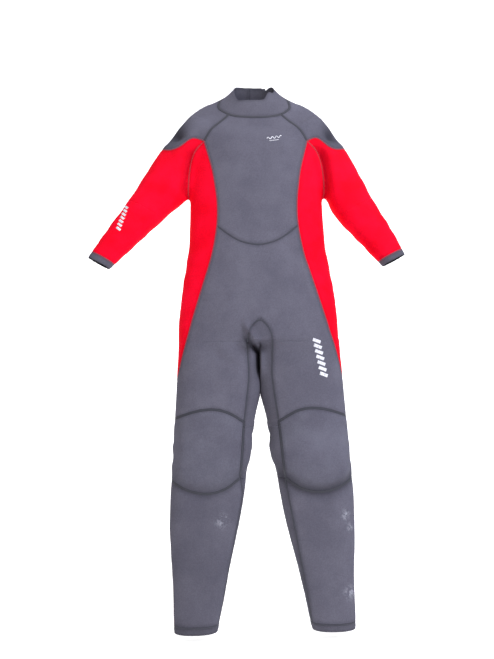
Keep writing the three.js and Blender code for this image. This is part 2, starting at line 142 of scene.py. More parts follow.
# ---- Seam lines on the left half, as (x, height) ------------------------------------------------
RAGLAN_SEAM = ((0.036, 1.500), (0.050, 1.440), (0.068, 1.345), (0.098, 1.315), (0.122, 1.290), (0.142, 1.250))
SLEEVE_BORDER = (
    (0.142, 1.250),
    (0.155, 1.263),
    (0.168, 1.270),
    (0.185, 1.262),
    (0.195, 1.240),
    (0.206, 1.228),
    (0.216, 1.222),
    (0.236, 1.222),
    (0.300, 1.270),
    (0.400, 1.345),
)
ARMHOLE = (
    (0.110, 1.278),
    (0.142, 1.250),
    (0.174, 1.222),
    (0.184, 1.165),
    (0.188, 1.108),
    (0.189, 1.040),
    (0.240, 0.920),
    (0.300, 0.500),
)
SIDE_SEAM = (
    (0.166, 1.340),
    (0.142, 1.250),
    (0.118, 1.160),
    (0.1055, 1.070),
    (0.106, 1.010),
    (0.119, 0.930),
    (0.132, 0.886),
    (0.157, 0.805),
    (0.179, 0.731),
    (0.190, 0.690),
    (0.203, 0.645),
    (0.214, 0.600),
    (0.236, 0.550),
)
WAIST_SEAM = ((0.0, 0.946), (0.030, 0.950), (0.060, 0.962), (0.106, 1.000), (0.160, 1.050))
YOKE_HEIGHT = 0.925
INNER_SEAM = (
    (-0.030, 0.778),
    (0.0, 0.750),
    (0.030, 0.722),
    (0.033, 0.690),
    (0.028, 0.604),
    (0.044, 0.483),
    (0.050, 0.398),
    (0.057, 0.343),
    (0.079, 0.220),
    (0.104, 0.069),
    (0.112, 0.016),
    (0.118, -0.040),
)
KNEE_TOP = ((-0.010, 0.460), (0.036, 0.484), (0.080, 0.514), (0.118, 0.524), (0.165, 0.518), (0.240, 0.494), (0.300, 0.470))
KNEE_BOTTOM = ((0.010, 0.390), (0.052, 0.356), (0.090, 0.326), (0.140, 0.315), (0.190, 0.328), (0.245, 0.358), (0.290, 0.390))
CALF_SIDE_SEAM = ((0.250, 0.360), (0.222, 0.338), (0.215, 0.300), (0.214, 0.200), (0.208, 0.016), (0.206, -0.040))
COLLAR_SEAM = (
    (-0.120, 1.314),
    (-0.056, 1.316),
    (-0.042, 1.325),
    (-0.017, 1.372),
    (0.003, 1.424),
    (0.030, 1.428),
    (0.120, 1.428),
)
COLLAR_RIM = (
    (-0.120, 1.384),
    (-0.029, 1.386),
    (-0.015, 1.420),
    (0.0, 1.450),
    (0.010, 1.461),
    (0.120, 1.463),
)
COLLAR_OVERLAP_X = -0.014
COLLAR_SIDE_Y = 0.006

CUFF_AT, CUFF_END_AT = 6.72, 7.02  # sleeve stations of the cuff seam and of the open end
SLEEVE_SPLIT_AT = 3.98
HIP_HEIGHT, KNEE_HIGH, KNEE_LOW, ANKLE_HEM = 0.690, 0.478, 0.352, 0.016

# ---- Where the suit bends: a pair of bodies and the stretch between them -------------------------
HIP_BEND = (0.690, 0.600)
KNEE_BEND = (0.475, 0.355)
SHOULDER_BEND = (3.0, 3.95)  # sleeve stations
ELBOW_BEND = (4.0, 5.15)

ZIP_BOTTOM, ZIP_TOP = 0.970, 1.415
SCUFFS = ((0.203, 0.262, 0.010), (0.212, 0.232, 0.007), (0.205, 0.085, 0.012), (-0.100, 0.255, 0.012))
TAPE_HALF, CHAIN_HALF, STOP_HEIGHT = 0.017, 0.0036, 0.008
ZIP_Y = 0.052


def spaced(rows, smooth=3):
    """The rows filled in every RING_STEP or so along their length, with their corners rounded off."""
    rows = np.array(rows, float)
    filled = [rows[0]]
    for a, b, run in zip(rows[:-1], rows[1:], np.abs(np.diff(rows[:, 0]))):
        steps = max(1, round(run / RING_STEP))
        filled += [a + (b - a) * k / steps for k in range(1, steps + 1)]
    filled = np.array(filled)
    for _ in range(smooth):
        filled[1:-1] = (filled[:-2] + 2 * filled[1:-1] + filled[2:]) / 4
    return filled


def soften(value):
    return math.copysign(abs(value) ** SQUARE, value)


def loft(bm, rows, place, segments):
    """A closed tube: a circle for each row, placed by its row, then bridged to the one before."""
    before = None
    for index, row in enumerate(rows):
        ring = bmesh.ops.create_circle(bm, cap_ends=False, segments=segments, radius=1.0)["verts"]
        edges = list({edge for vert in ring for edge in vert.link_edges})
        for vert in ring:
            vert.co = place(row, soften(vert.co.x), soften(vert.co.y))
        if before:
            bmesh.ops.bridge_loops(bm, edges=before + edges)
        if index in (0, len(rows) - 1):
            bmesh.ops.edgeloop_fill(bm, edges=edges)
        before = edges


def trunk_point(row, side, depth):
    height, half, front, back, drop, rise = row
    reach, hang = (front, drop) if depth > 0 else (back, rise)
    return Vector((half * side, -depth * reach, height - depth * hang))


def leg_point(row, side, depth, sign):
    height, inner, outer, front, back = row
    x = (inner + outer) / 2 + side * (outer - inner) / 2
    return Vector((sign * x, -depth * (front if depth > 0 else back), height))


def sleeve_frames():
    """Each sleeve station's middle and the direction across it, on the left, before the sway."""
    rows = np.array(SLEEVE)
    centres = rows[:, :3]
    ahead = np.vstack([centres[1:], centres[-1:]]) - np.vstack([centres[:1], centres[:-1]])
    across = np.stack([-ahead[:, 2], 0 * ahead[:, 1], ahead[:, 0]], 1)
    across /= np.linalg.norm(across, axis=1)[:, None]
    return centres, across


SLEEVE_CENTRES, SLEEVE_ACROSS = sleeve_frames()


def sleeve_rows():
    rows = []
    for (x, y, height, half, depth), across in zip(SLEEVE, SLEEVE_ACROSS):
        rows.append((height, x, y, half * across[0], half * across[2], depth))
    return rows


def sleeve_point(row, side, depth, sign):
    height, x, y, across_x, across_z, reach = row
    return Vector((sign * (x + side * across_x), y - depth * reach, height + side * across_z))


def sway(height):
    """How far towards the wearer's right a sleeve hangs at this height."""
    top, bottom = 1.360, 0.893
    return SLEEVE_SWAY * np.clip((top - height) / (top - bottom), 0, 1.2) ** 1.3


def sleeve_place(sign, station):
    """A sleeve station's middle as it hangs, in the frame."""
    low = min(int(station), len(SLEEVE) - 2)
    middle = SLEEVE_CENTRES[low] + (SLEEVE_CENTRES[low + 1] - SLEEVE_CENTRES[low]) * (station - low)
    return Vector((sign * middle[0] - sway(middle[2]), middle[1], middle[2] - HANGER))


# ---- Measures along the skin ----------------------------------------------------------------------
def smooth_line(points, step=0.010):
    """A seam line at even steps, with its corners rounded."""
    line = np.array(points, float)
    run = np.concatenate([[0], np.cumsum(np.hypot(*np.diff(line, axis=0).T))])
    at = np.linspace(0, run[-1], round(run[-1] / step) + 1)
    fine = np.stack([np.interp(at, run, line[:, axis]) for axis in range(2)], 1)
    for _ in range(6):
        fine[1:-1] = (fine[:-2] + 2 * fine[1:-1] + fine[2:]) / 4
    return fine


LINES = {
    "armhole": smooth_line(ARMHOLE),
    "shoulder": np.vstack([smooth_line(RAGLAN_SEAM), smooth_line(SLEEVE_BORDER)[1:]]),
    "side": smooth_line(SIDE_SEAM),
    "waist": smooth_line(WAIST_SEAM),
    "inner": smooth_line(INNER_SEAM),
    "knee top": smooth_line(KNEE_TOP),
    "knee bottom": smooth_line(KNEE_BOTTOM),
    "calf side": smooth_line(CALF_SIDE_SEAM),
    "collar": smooth_line(COLLAR_SEAM, 0.005),
    "rim": smooth_line(COLLAR_RIM, 0.004),
}


def beside(name, across, height):
    """Distance from a seam line, above zero where a point is above the line or further out."""
    line = LINES[name]
    nearest = np.full(len(across), 1e9)
    result = np.zeros(len(across))
    for (ax, az), (bx, bz) in zip(line[:-1], line[1:]):
        dx, dz = bx - ax, bz - az
        run = math.hypot(dx, dz)
        share = np.clip(((across - ax) * dx + (height - az) * dz) / run**2, 0, 1)
        away = np.hypot(across - ax - share * dx, height - az - share * dz)
        off = ((height - az) * dx - (across - ax) * dz) / run
        key = away - 1e-5 * np.abs(off)
        nearer = key < nearest
        nearest = np.where(nearer, key, nearest)
        result = np.where(nearer, np.copysign(away, off), result)
    return result


def inward(x, y, z):
    """Distance from the inner-leg seam; below the right knee its front run turns onto the inner edge."""
    turned = 0.015 * ease(-z, -0.37, -0.30) * (x < 0) * ease(-y, 0.0, 0.015)
    return beside("inner", np.abs(x) + turned, z)


def ease(value, low, high):
    share = np.clip((value - low) / (high - low), 0, 1)
    return share * share * (3 - 2 * share)


def bell(value, centre, reach):
    return np.exp(-(((value - centre) / reach) ** 2))


def sleeve_station(wide, height):
    """How far along the sleeve a point lies, counted in stations."""
    nearest = np.full(len(wide), 1e9)
    station = np.zeros(len(wide))
    centres = SLEEVE_CENTRES[:, [0, 2]]
    for index, (a, b) in enumerate(zip(centres[:-1], centres[1:])):
        run = b - a
        share = ((wide - a[0]) * run[0] + (height - a[1]) * run[1]) / (run @ run)
        share = np.maximum(share, 0) if index == len(centres) - 2 else np.clip(share, 0, 1)
        away = np.hypot(wide - a[0] - share * run[0], height - a[1] - share * run[1])
        nearer = away < nearest
        nearest = np.where(nearer, away, nearest)
        station = np.where(nearer, index + share, station)
    return station


# ---- Sculpting ---------------------------------------------------------------------------------------
def coordinates(verts):
    return np.array([vert.co for vert in verts], float)


def folds(points, scale, seed):
    """Soft random relief between about -1 and 1, its grain set by scale along each axis."""
    offset = Vector((seed * 7.3, seed * 3.1, seed * 5.7))
    return np.array([noise.fractal(Vector(point * scale) + offset, 0.9, 2.1, 2) for point in points])


def pad_relief(side, wide, z, front):
    """The knees are padded and stand proud between their two seams."""
    inside = np.minimum(-beside("knee top", wide, z), beside("knee bottom", wide, z))
    fill = settings().knee_fill * np.where(side > 0, 1.25, 0.8)
    low = ease(-z, -0.45, -0.37)
    relief = fill * ease(inside, 0, 0.048 - 0.020 * low) * front * (0.70 + 0.45 * bell(z, 0.378, 0.06))
    relief *= ease(-wide, -0.226, -0.190)
    return np.where(z < 0.6, relief - 0.0018 * bell(inside, -0.004, 0.006) * front, 0)


def shoulder_relief(wide, z, front):
    """Hollows left in the shoulder caps, and the crease where each sleeve meets the side panel."""
    off = beside("armhole", wide, z)
    relief = -0.015 * bell(wide, 0.216, 0.022) * bell(z, 1.272, 0.018)
    relief += 0.003 * bell(wide, 0.216, 0.030) * bell(z, 1.240, 0.014)
    along = ease(z, 1.06, 1.13) * ease(-z, -1.240, -1.205) * (wide > 0.14)
    relief += along * (0.006 * bell(off, 0.032, 0.017) - 0.013 * bell(off, 0.006, 0.009))
    return relief * front


def fold_relief(points, side, wide, front, station):
    """Soft folds: long ones down the trunk and legs, short ones across the sleeves and behind the knees."""
    z = points[:, 2]
    broad = folds(points, np.array([9.0, 9.0, 5.0]), 1)
    fine = folds(points, np.array([26.0, 20.0, 16.0]), 2)
    chest = (z > 0.95) & (wide < 0.2)
    arm = (z > 0.8) & (wide > 0.19)
    relief = np.where(chest, 0.5, 1.0) * (0.0026 * broad + 0.0008 * fine) * ease(z, 0.0, 0.03)
    relief = np.where(arm, 0.3 * relief, relief)
    sleeve = ease(station, 2.2, 3.4) * ease(-station, -6.9, -5.8) * (z > 0.8)
    relief += 0.0007 * np.sin(station * 7.0 + 2.2 * broad + 2.0 * side) * sleeve * (wide > 0.19)
    relief += 0.0009 * np.sin((z + 0.10 * wide) * 95 + 3 * broad) * bell(z, 0.93, 0.05) * front * (wide < 0.2)
    hip = bell(z, 0.665, 0.045) * bell(wide, 0.085, 0.06)
    relief += 0.0020 * np.sin((z - 0.45 * wide) * 70 + 2.5 * broad) * hip * front
    behind = bell(z, 0.42, 0.05) * (1 - front)
    return relief + 0.0018 * np.sin(z * 120 + 2 * broad) * behind


def dimness(side, wide, z, front, crotch):
    """Painted shade and highlight, as shares of the cloth's colour, where less light reaches the cloth: the shoulder
    hollows, armhole creases, knees and crotch fold, and the shins darker towards the hems; a share below zero is a
    painted highlight.
    """
    # Painted shade: in the shoulder caps' hollows, and on the sleeve side of each armhole crease.
    cap = 0.58 * bell(wide, 0.220, 0.034) * bell(z, 1.280, 0.046)
    off = beside("armhole", wide, z)
    crease = 0.30 * (off > 0) * bell(off, 0, 0.024) * ease(z, 1.05, 1.12) * ease(-z, -1.250, -1.215)
    # Painted shadow along each knee pad's lower seam, under its bulge, stronger on the wearer's left.
    inside = beside("knee bottom", wide, z)
    pad = 0.42 * np.where(side > 0, 1.0, 0.4) * bell(inside, 0.006, 0.018) * (z < 0.42)
    # A painted highlight: this share goes below zero and brightens the upper middle of the wearer's left knee pad.
    pad -= 0.16 * (side > 0) * bell(z, 0.440, 0.045) * bell(wide, 0.145, 0.050)
    # Painted shade: the shins darker towards the hems, more on the wearer's right leg.
    shin = np.where(side < 0, 0.17, 0.06) * ease(-z, -0.50, -0.12)
    # Painted shadow in the hollow under the crotch gusset's fold.
    return shin + front * (cap + crease * (wide > 0.15) + pad * (wide > 0.04)) + 0.85 * crotch


def sculpt(bm):
    """Shapes what plain tubes can't: padded knees, hollows, creases, soft folds and the crotch fold."""
    bm.normal_update()
    points = coordinates(bm.verts)
    normals = np.array([vert.normal for vert in bm.verts], float)
    x, y, z = points.T.copy()
    side, wide = np.sign(x), np.abs(x)
    front = ease(-normals[:, 1], 0.05, 0.5)
    station = sleeve_station(wide, z)
    out = pad_relief(side, wide, z, front)
    out += shoulder_relief(wide, z, front)
    out += fold_relief(points, side, wide, front, station)
    points += normals * out[:, None]

    # The legs hang together above the knees, a few millimetres apart.
    closing = ease(-z, -0.700, -0.680) * ease(z, 0.49, 0.575)
    drawn = np.maximum(wide - 0.0110 * closing * ease(-wide, -0.080, -0.012), np.minimum(wide, 0.0003))
    points[:, 0] = np.where(closing > 0, side * drawn, points[:, 0])

    # The crotch gusset folds: a ridge from its left tip down to the leg, with a hollow under it.
    gusset = front * ease(z, 0.585, 0.635) * ease(-z, -0.775, -0.745) * ease(-wide, -0.05, -0.02)
    ridge_x = np.minimum(-0.0275 + (0.704 - z) * 0.75, 0.004)
    hollow = bell(x - ridge_x, -0.015, 0.009) * ease(-z, -0.720, -0.700)
    points[:, 1] -= gusset * (0.019 * bell(x - ridge_x, 0.004, 0.012) - 0.022 * hollow)
    # The hollow layer holds painted shade, and a painted highlight where it is below zero; the scuff layer holds real
    # scuff marks.
    painted_light, rubbed = (bm.verts.layers.float.new(name) for name in ("hollow", "scuff"))
    shade = dimness(side, wide, z, front, gusset * hollow)
    scuffs = front * sum(bell(x, at, reach) * bell(z, height, reach) for at, height, reach in SCUFFS)
    for vert, point, amount, scuff in zip(bm.verts, points, shade, scuffs):
        vert.co = point
        vert[painted_light] = amount
        vert[rubbed] = scuff


# ---- The skin ---------------------------------------------------------------------------------------------
def settings():
    return bpy.context.scene.wetsuit


def link(bm, name, *materials):
    """A mesh object of a finished bmesh, with its material slots."""
    mesh = bpy.data.meshes.new(name)
    bm.to_mesh(mesh)
    bm.free()
    piece = bpy.data.objects.new(name, mesh)
    bpy.context.scene.collection.objects.link(piece)
    for material in materials:
        mesh.materials.append(material)
    return piece


def tubes():
    bm = bmesh.new()
    loft(bm, spaced(TRUNK), trunk_point, 72)
    for sign in SIDES.values():
        loft(bm, spaced(LEG), lambda *at, sign=sign: leg_point(*at, sign), 44)
        loft(bm, spaced(sleeve_rows(), 10), lambda *at, sign=sign: sleeve_point(*at, sign), 40)
    bmesh.ops.recalc_face_normals(bm, faces=bm.faces)
    return bm


def merged(bm, voxel):
    """The tubes grown into one skin."""
    rough = link(bm, "rough_tubes")
    remesh = rough.modifiers.new("one skin", "REMESH")
    remesh.mode = "VOXEL"
    remesh.voxel_size = voxel
    evaluated = rough.evaluated_get(bpy.context.evaluated_depsgraph_get())
    skin = bmesh.new()
    skin.from_mesh(evaluated.to_mesh())
    bpy.data.objects.remove(rough)
    return skin


def smoothed(bm):
    """The skin evened out, and more so where a limb grows out of the trunk."""
    everything = list(bm.verts)
    joins = [
        vert
        for vert in everything
        if (1.08 < vert.co.z < 1.38 and 0.12 < abs(vert.co.x) < 0.26)
        or 0.64 < vert.co.z < 0.78
        or (vert.co.z > 1.28 and abs(vert.co.x) < 0.13)
    ]
    for verts, times in ((everything, 5), (joins, 9)):
        for _ in range(times):
            bmesh.ops.smooth_vert(
                bm, verts=verts, factor=0.5, use_axis_x=True, use_axis_y=True, use_axis_z=True
            )


# What each cut follows, and the stretch of skin it is made in: (measure, zone), both of (x, y, z).
CUTS = (
    (lambda x, y, z: z, lambda x, y, z: z < 0.03),
    (lambda x, y, z: z - ANKLE_HEM, lambda x, y, z: z < 0.04),
    (lambda x, y, z: x, lambda x, y, z: (z > 0.55) & (z < 0.72) & (abs(x) < 0.03)),
    (lambda x, y, z: z - HIP_HEIGHT, lambda x, y, z: abs(z - HIP_HEIGHT) < 0.02),
    (inward, lambda x, y, z: (z < 0.77) & (abs(x) < 0.14)),
    (lambda x, y, z: y, lambda x, y, z: (z < 0.70) & (abs(x) > 0.15) & (abs(y) < 0.02)),
    (
        lambda x, y, z: z - KNEE_HIGH,
        lambda x, y, z: (abs(z - KNEE_HIGH) < 0.02) & ((y > -0.01) | (abs(x) < 0.075)),
    ),
    (
        lambda x, y, z: z - KNEE_LOW,
        lambda x, y, z: (abs(z - KNEE_LOW) < 0.02) & ((y > -0.01) | (abs(x) < 0.075)),
    ),
    (lambda x, y, z: beside("knee top", abs(x), z), lambda x, y, z: (abs(z - 0.50) < 0.05) & (y < 0.01)),
    (lambda x, y, z: beside("knee bottom", abs(x), z), lambda x, y, z: (abs(z - 0.34) < 0.06) & (y < 0.01)),
    (
        lambda x, y, z: beside("calf side", abs(x), z),
        lambda x, y, z: (z < 0.38) & (y > -0.01) & (abs(x) > 0.18),
    ),
    (
        lambda x, y, z: beside("side", abs(x), z),
        lambda x, y, z: (z > 0.56) & (z < 1.262) & ((abs(x) < 0.17) | (z < 0.8)),
    ),
    (lambda x, y, z: beside("waist", abs(x), z), lambda x, y, z: (abs(z - 0.975) < 0.05) & (y < 0.01)),
    (lambda x, y, z: z - YOKE_HEIGHT, lambda x, y, z: (abs(z - YOKE_HEIGHT) < 0.02) & (y > -0.01)),
    (
        lambda x, y, z: beside("armhole", abs(x), z),
        lambda x, y, z: (z > 1.02) & (z < 1.268) & (abs(x) > 0.135),
    ),
    (lambda x, y, z: beside("shoulder", abs(x), z), lambda x, y, z: (z > 1.20) & (abs(x) > 0.02)),
    (
        lambda x, y, z: sleeve_station(abs(x), z) - SLEEVE_SPLIT_AT,
        lambda x, y, z: (z < 1.16) & (z > 0.85) & (abs(x) > 0.20),
    ),
    (lambda x, y, z: sleeve_station(abs(x), z) - CUFF_AT, lambda x, y, z: (z < 1.0) & (abs(x) > 0.28)),
    (lambda x, y, z: sleeve_station(abs(x), z) - CUFF_END_AT, lambda x, y, z: (z < 1.0) & (abs(x) > 0.28)),
    (lambda x, y, z: beside("collar", y, z), lambda x, y, z: (z > 1.27) & (abs(x) < 0.13)),
    (lambda x, y, z: beside("rim", y, z) - rim_wave(x, y), lambda x, y, z: (z > 1.33) & (abs(x) < 0.10)),
    (lambda x, y, z: y - COLLAR_SIDE_Y, lambda x, y, z: (z > 1.38) & (abs(x) < 0.10)),
    (
        lambda x, y, z: x - COLLAR_OVERLAP_X,
        lambda x, y, z: (z > 1.41) & (y > 0) & (abs(x) < 0.03),
    ),
    (lambda x, y, z: abs(x) - TAPE_HALF, lambda x, y, z: (z > 0.95) & (z < 1.43) & (y > 0.02) & (abs(x) < 0.03)),
    (lambda x, y, z: x, lambda x, y, z: (z > 0.91) & (y > 0.02) & (abs(x) < 0.02)),
    (lambda x, y, z: z - ZIP_BOTTOM, lambda x, y, z: (abs(z - ZIP_BOTTOM) < 0.02) & (y > 0.02) & (abs(x) < 0.03)),
    (lambda x, y, z: z - ZIP_TOP, lambda x, y, z: (abs(z - ZIP_TOP) < 0.02) & (y > 0.02) & (abs(x) < 0.03)),
)


def rim_wave(x, y):
    """The collar's free edge isn't level: it peaks at the wearer's left front, and sinks behind that."""
    front = ease(-y, -0.012, 0.012)
    before = 0.006 * bell(x, 0.040, 0.012) - 0.002 * bell(x, -0.046, 0.012)
    return front * before - (1 - front) * 0.007 * bell(x, 0.036, 0.008)


def cut(bm, rest, measure, zone):
    """Cuts the skin where measure is zero: each point stands at its measure while one plane cuts them."""
    bm.verts.ensure_lookup_table()
    points = coordinates(bm.verts)
    chosen = zone(*points.T)
    verts = [vert for vert, inside in zip(bm.verts, chosen) if inside]
    faces = list({face for vert in verts for face in vert.link_faces})
    edges = list({edge for face in faces for edge in face.edges})
    verts = list({vert for face in faces for vert in face.verts})
    places = coordinates(verts)
    for vert, place, value in zip(verts, places, measure(*places.T)):
        vert[rest[0]], vert[rest[1]], vert[rest[2]] = place
        vert.co.x = value
    made = bmesh.ops.bisect_plane(
        bm, geom=verts + edges + faces, dist=1e-5, plane_co=(0, 0, 0), plane_no=(1, 0, 0)
    )
    fresh = [item for item in made["geom_cut"] if isinstance(item, bmesh.types.BMVert)]
    for vert in set(verts + fresh):
        vert.co = (vert[rest[0]], vert[rest[1]], vert[rest[2]])


def panels_at(x, y, z):
    """The name of the panel that each point of the skin belongs to."""
    wide, front = np.abs(x), y < 0
    hand = np.where(x > 0, "_left", "_right")

    def with_hand(name):
        return np.char.add(name, hand)

    chest = np.where(beside("waist", wide, z) > 0, "chest_panel", "lower_front_panel")
    back = np.where(z > YOKE_HEIGHT, with_hand("back_panel"), "seat_panel")
    name = np.where(front, chest, back)
    inner = inward(x, y, z) < 0
    name = np.where(inner & (z < 0.8), "crotch_gusset", name)
    outer = beside("side", wide, z) > 0
    name = np.where(outer & (z < 1.3), with_hand("side_panel"), name)

    shin = np.where(front, with_hand("shin_panel"), with_hand("calf_panel"))
    calf_side = ~front & (beside("calf side", wide, z) > 0)
    shin = np.where(calf_side, with_hand("calf_side_panel"), shin)
    leg = np.where(front, with_hand("thigh_front"), with_hand("thigh_back"))
    above = np.where(front & ~inner, beside("knee top", wide, z) > 0, z > KNEE_HIGH)
    below = np.where(front & ~inner, beside("knee bottom", wide, z) < 0, z < KNEE_LOW)
    leg = np.where(above, leg, np.where(front, with_hand("knee_pad"), with_hand("knee_back")))
    leg = np.where(below, shin, leg)
    strip = np.where(z > KNEE_HIGH, with_hand("inner_thigh"), with_hand("inner_knee"))
    strip = np.where(z < KNEE_LOW, with_hand("inner_calf"), strip)
    leg = np.where(inner, strip, leg)
    leg = np.where(outer & (z > 0.55), with_hand("side_tip"), leg)
    leg = np.where(z < ANKLE_HEM, with_hand("ankle_hem"), leg)
    name = np.where(z < HIP_HEIGHT, leg, name)

    shoulder = beside("shoulder", wide, z) > 0
    station = sleeve_station(wide, z)
    arm = (beside("armhole", wide, z) > 0) & ~shoulder & (wide > 0.142) & (z > 0.8)
    sleeve = np.where(station < SLEEVE_SPLIT_AT, with_hand("sleeve_upper"), with_hand("sleeve_lower"))
    sleeve = np.where(station > CUFF_AT, with_hand("cuff_hem"), sleeve)
    name = np.where(arm, sleeve, name)
    name = np.where(shoulder & (z > 1.2), with_hand("shoulder_panel"), name)

    neck = (beside("collar", y, z) > 0) & (wide < 0.12) & (z > 1.3)
    collar = np.where(x > COLLAR_OVERLAP_X, "collar_back_left", "collar_back_right")
    collar = np.where(y < COLLAR_SIDE_Y, "collar_front", collar)
    name = np.where(neck, collar, name)

    slot = (wide < TAPE_HALF) & (y > 0.02) & (z > ZIP_BOTTOM) & (z < ZIP_TOP)
    past_end = (z < 0) | ((station > CUFF_END_AT) & (wide > 0.28) & (z > 0.8))
    past_end |= neck & (beside("rim", y, z) > rim_wave(x, y))
    return np.where(slot | past_end, "waste", name)


def swing_sleeves(bm):
    """Both sleeves hang a little towards the wearer's right."""
    points = coordinates(bm.verts)
    x, _, z = points.T
    wide = np.abs(x)
    share = ease(beside("armhole", wide, z), 0, 0.05) * (wide > 0.15) * (z > 0.8)
    for vert, amount in zip(bm.verts, share * sway(z)):
        vert.co.x -= amount


def edge_sides(bm, names):
    """Each edge between two panels, with the names of the two."""
    found = ((edge, frozenset(str(names[face.index]) for face in edge.link_faces)) for edge in bm.edges)
    return [(edge, sides) for edge, sides in found if len(sides) == 2]


def unsewn(sides):
    return {plain(name)[0] for name in sides} in UNSEWN


def press_seams(bm, borders):
    """Stores each point's distance to the nearest seam, and draws the skin in a little along it."""
    distance = bm.verts.layers.float.new("seam_distance")
    split = bm.verts.layers.float.new("split")
    ends = {vert for edge, sides in borders if not unsewn(sides) for vert in edge.verts}
    for edge, sides in borders:
        for vert in edge.verts:
            vert[split] = float(unsewn(sides) or vert[split])
    tree = KDTree(len(ends))
    for index, vert in enumerate(ends):
        tree.insert(vert.co, index)
    tree.balance()
    bm.normal_update()
    for vert in bm.verts:
        vert[distance] = min(tree.find(vert.co)[2], 0.05)
    for vert in bm.verts:
        vert.co -= vert.normal * 0.0009 * math.exp(-((vert[distance] / 0.005) ** 2))


def overlap_splits(piece):
    """Lets a panel's unsewn edges run half a millimetre past their neighbours', so that no gap shows."""
    bm = bmesh.new()
    bm.from_mesh(piece.data)
    split = bm.verts.layers.float["split"]
    moves = []
    for vert in bm.verts:
        if vert[split] > 0.5 and vert.is_boundary:
            centre = sum((face.calc_center_median() for face in vert.link_faces), Vector())
            moves.append((vert, (vert.co - centre / len(vert.link_faces)).normalized() * 0.0006))
    for vert, move in moves:
        vert.co += move
    bm.verts.layers.float.remove(split)
    bm.to_mesh(piece.data)
    bm.free()


def face_names(bm):
    centres = np.array([face.calc_center_median() for face in bm.faces], float)
    return panels_at(*centres.T)


# ---- Which body each panel follows, and what it is made of --------------------------------------------
# panel: (bend, material, CAD nodes it stands for, what it hangs from)
PANELS = {
    "chest_panel": ("trunk", "grey", ("chest_panel",), "shoulder_panel_left"),
    "lower_front_panel": ("trunk", "grey", ("lower_front_panel",), "chest_panel"),
    "crotch_gusset": ("trunk", "dark", ("crotch_gusset",), "lower_front_panel"),
    "seat_panel": ("trunk", "grey", ("seat_panel",), "back_panel_left"),
    "back_panel": ("trunk", "grey", ("back_panel",), "shoulder_panel"),
    "side_panel": ("trunk", "red", ("side_panel",), "chest_panel"),
    "shoulder_panel": ("trunk", "grey", ("shoulder_panel",), "hanger"),
    "collar_front": ("trunk", "dark", ("collar_front",), "chest_panel"),
    "collar_back": ("trunk", "dark", ("collar_back",), "back_panel"),
    "sleeve_upper": ("shoulder", "red", ("sleeve_head", "upper_sleeve"), "shoulder_panel"),
    "sleeve_lower": ("elbow", "red", ("elbow", "forearm_sleeve"), "sleeve_upper"),
    "cuff_hem": ("forearm", "dark", ("cuff_hem",), "sleeve_lower"),
    "thigh_front": ("hip", "grey", ("thigh_front", "thigh_top"), "lower_front_panel"),
    "thigh_back": ("hip", "grey", ("thigh_back",), "seat_panel"),
    "side_tip": ("hip", "red", (), "side_panel"),
    "inner_thigh": ("hip", "dark", ("inner_thigh",), "crotch_gusset"),
    "knee_pad": ("knee", "pad", ("knee_pad",), "thigh_front"),
    "knee_back": ("knee", "grey", ("knee_back",), "thigh_back"),
    "inner_knee": ("knee", "dark", ("inner_knee",), "inner_thigh"),
    "shin_panel": ("shin", "grey", ("shin_panel",), "knee_pad"),
    "calf_panel": ("shin", "grey", ("calf_panel",), "knee_back"),
    "calf_side_panel": ("shin", "red", ("calf_side_panel",), "knee_back"),
    "inner_calf": ("shin", "dark", ("inner_calf",), "inner_knee"),
    "ankle_hem": ("shin", "dark", ("ankle_hem",), "shin_panel"),
}
# Cuts that only let the suit bend are one piece of neoprene in life, and have no stitching.
UNSEWN = (
    {"lower_front_panel", "thigh_front"},
    {"seat_panel", "thigh_back"},
    {"side_panel", "side_tip"},
    {"crotch_gusset", "inner_thigh"},
    {"thigh_back", "knee_back"},
    {"knee_back", "calf_panel"},
    {"inner_thigh", "inner_knee"},
    {"inner_knee", "inner_calf"},
    {"sleeve_upper", "sleeve_lower"},
    {"inner_thigh"},
    {"calf_side_panel", "knee_back"},
    {"collar_front", "collar_back"},
)
BOLD = {"knee_pad", "collar_front", "collar_back", "shoulder_panel"}
STITCH_WIDTHS = {"bold": 1.0, "fine": 0.6, "edge": 0.55, "red": 0.6}  # as shares of a full seam
BEND_ORDER = ("trunk", "shoulder", "elbow", "forearm", "hip", "knee", "shin")
workshop = {}


def plain(name):
    """The panel's name without its hand, and the hand, or None."""
    base, _, hand = name.rpartition("_")
    return (base, hand) if hand in SIDES and base in PANELS else (name, None)


def stitching(bases):
    """How a seam between two kinds of panel is sewn."""
    looks = {PANELS[base][1] for base in bases}
    if "red" in looks:
        return "red" if looks == {"red"} else "edge"
    return "bold" if bases & BOLD else "fine"


def lowered(x, y, z):
    return (x, y, z - HANGER)


def fasten(piece, bend, hand):
    """Lets a piece ride on its body, or bend between the two bodies that it crosses."""
    sign = SIDES.get(hand, 0)
    if bend == "trunk":
        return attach(piece, "trunk")
    if bend in ("shin", "forearm"):
        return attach(piece, f"{bend}_{hand}")
    if bend in ("hip", "knee"):
        pair, x, (high, low) = {
            "hip": (("trunk", f"thigh_{hand}"), 0.110, HIP_BEND),
            "knee": ((f"thigh_{hand}", f"shin_{hand}"), 0.127, KNEE_BEND),
        }[bend]
        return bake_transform(piece, *pair, start=lowered(sign * x, 0, high), end=lowered(sign * x, 0, low))
    pair, (first, last) = {
        "shoulder": (("trunk", f"upper_arm_{hand}"), SHOULDER_BEND),
        "elbow": ((f"upper_arm_{hand}", f"forearm_{hand}"), ELBOW_BEND),
    }[bend]
    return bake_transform(piece, *pair, start=sleeve_place(sign, first), end=sleeve_place(sign, last))


# ---- Materials ---------------------------------------------------------------------------------------------
def linear(colour):
    """An sRGB hex colour as linear red, green, blue and alpha."""
    channels = [int(colour[k : k + 2], 16) / 255 for k in (0, 2, 4)]
    return [c / 12.92 if c <= 0.04045 else ((c + 0.055) / 1.055) ** 2.4 for c in channels] + [1.0]


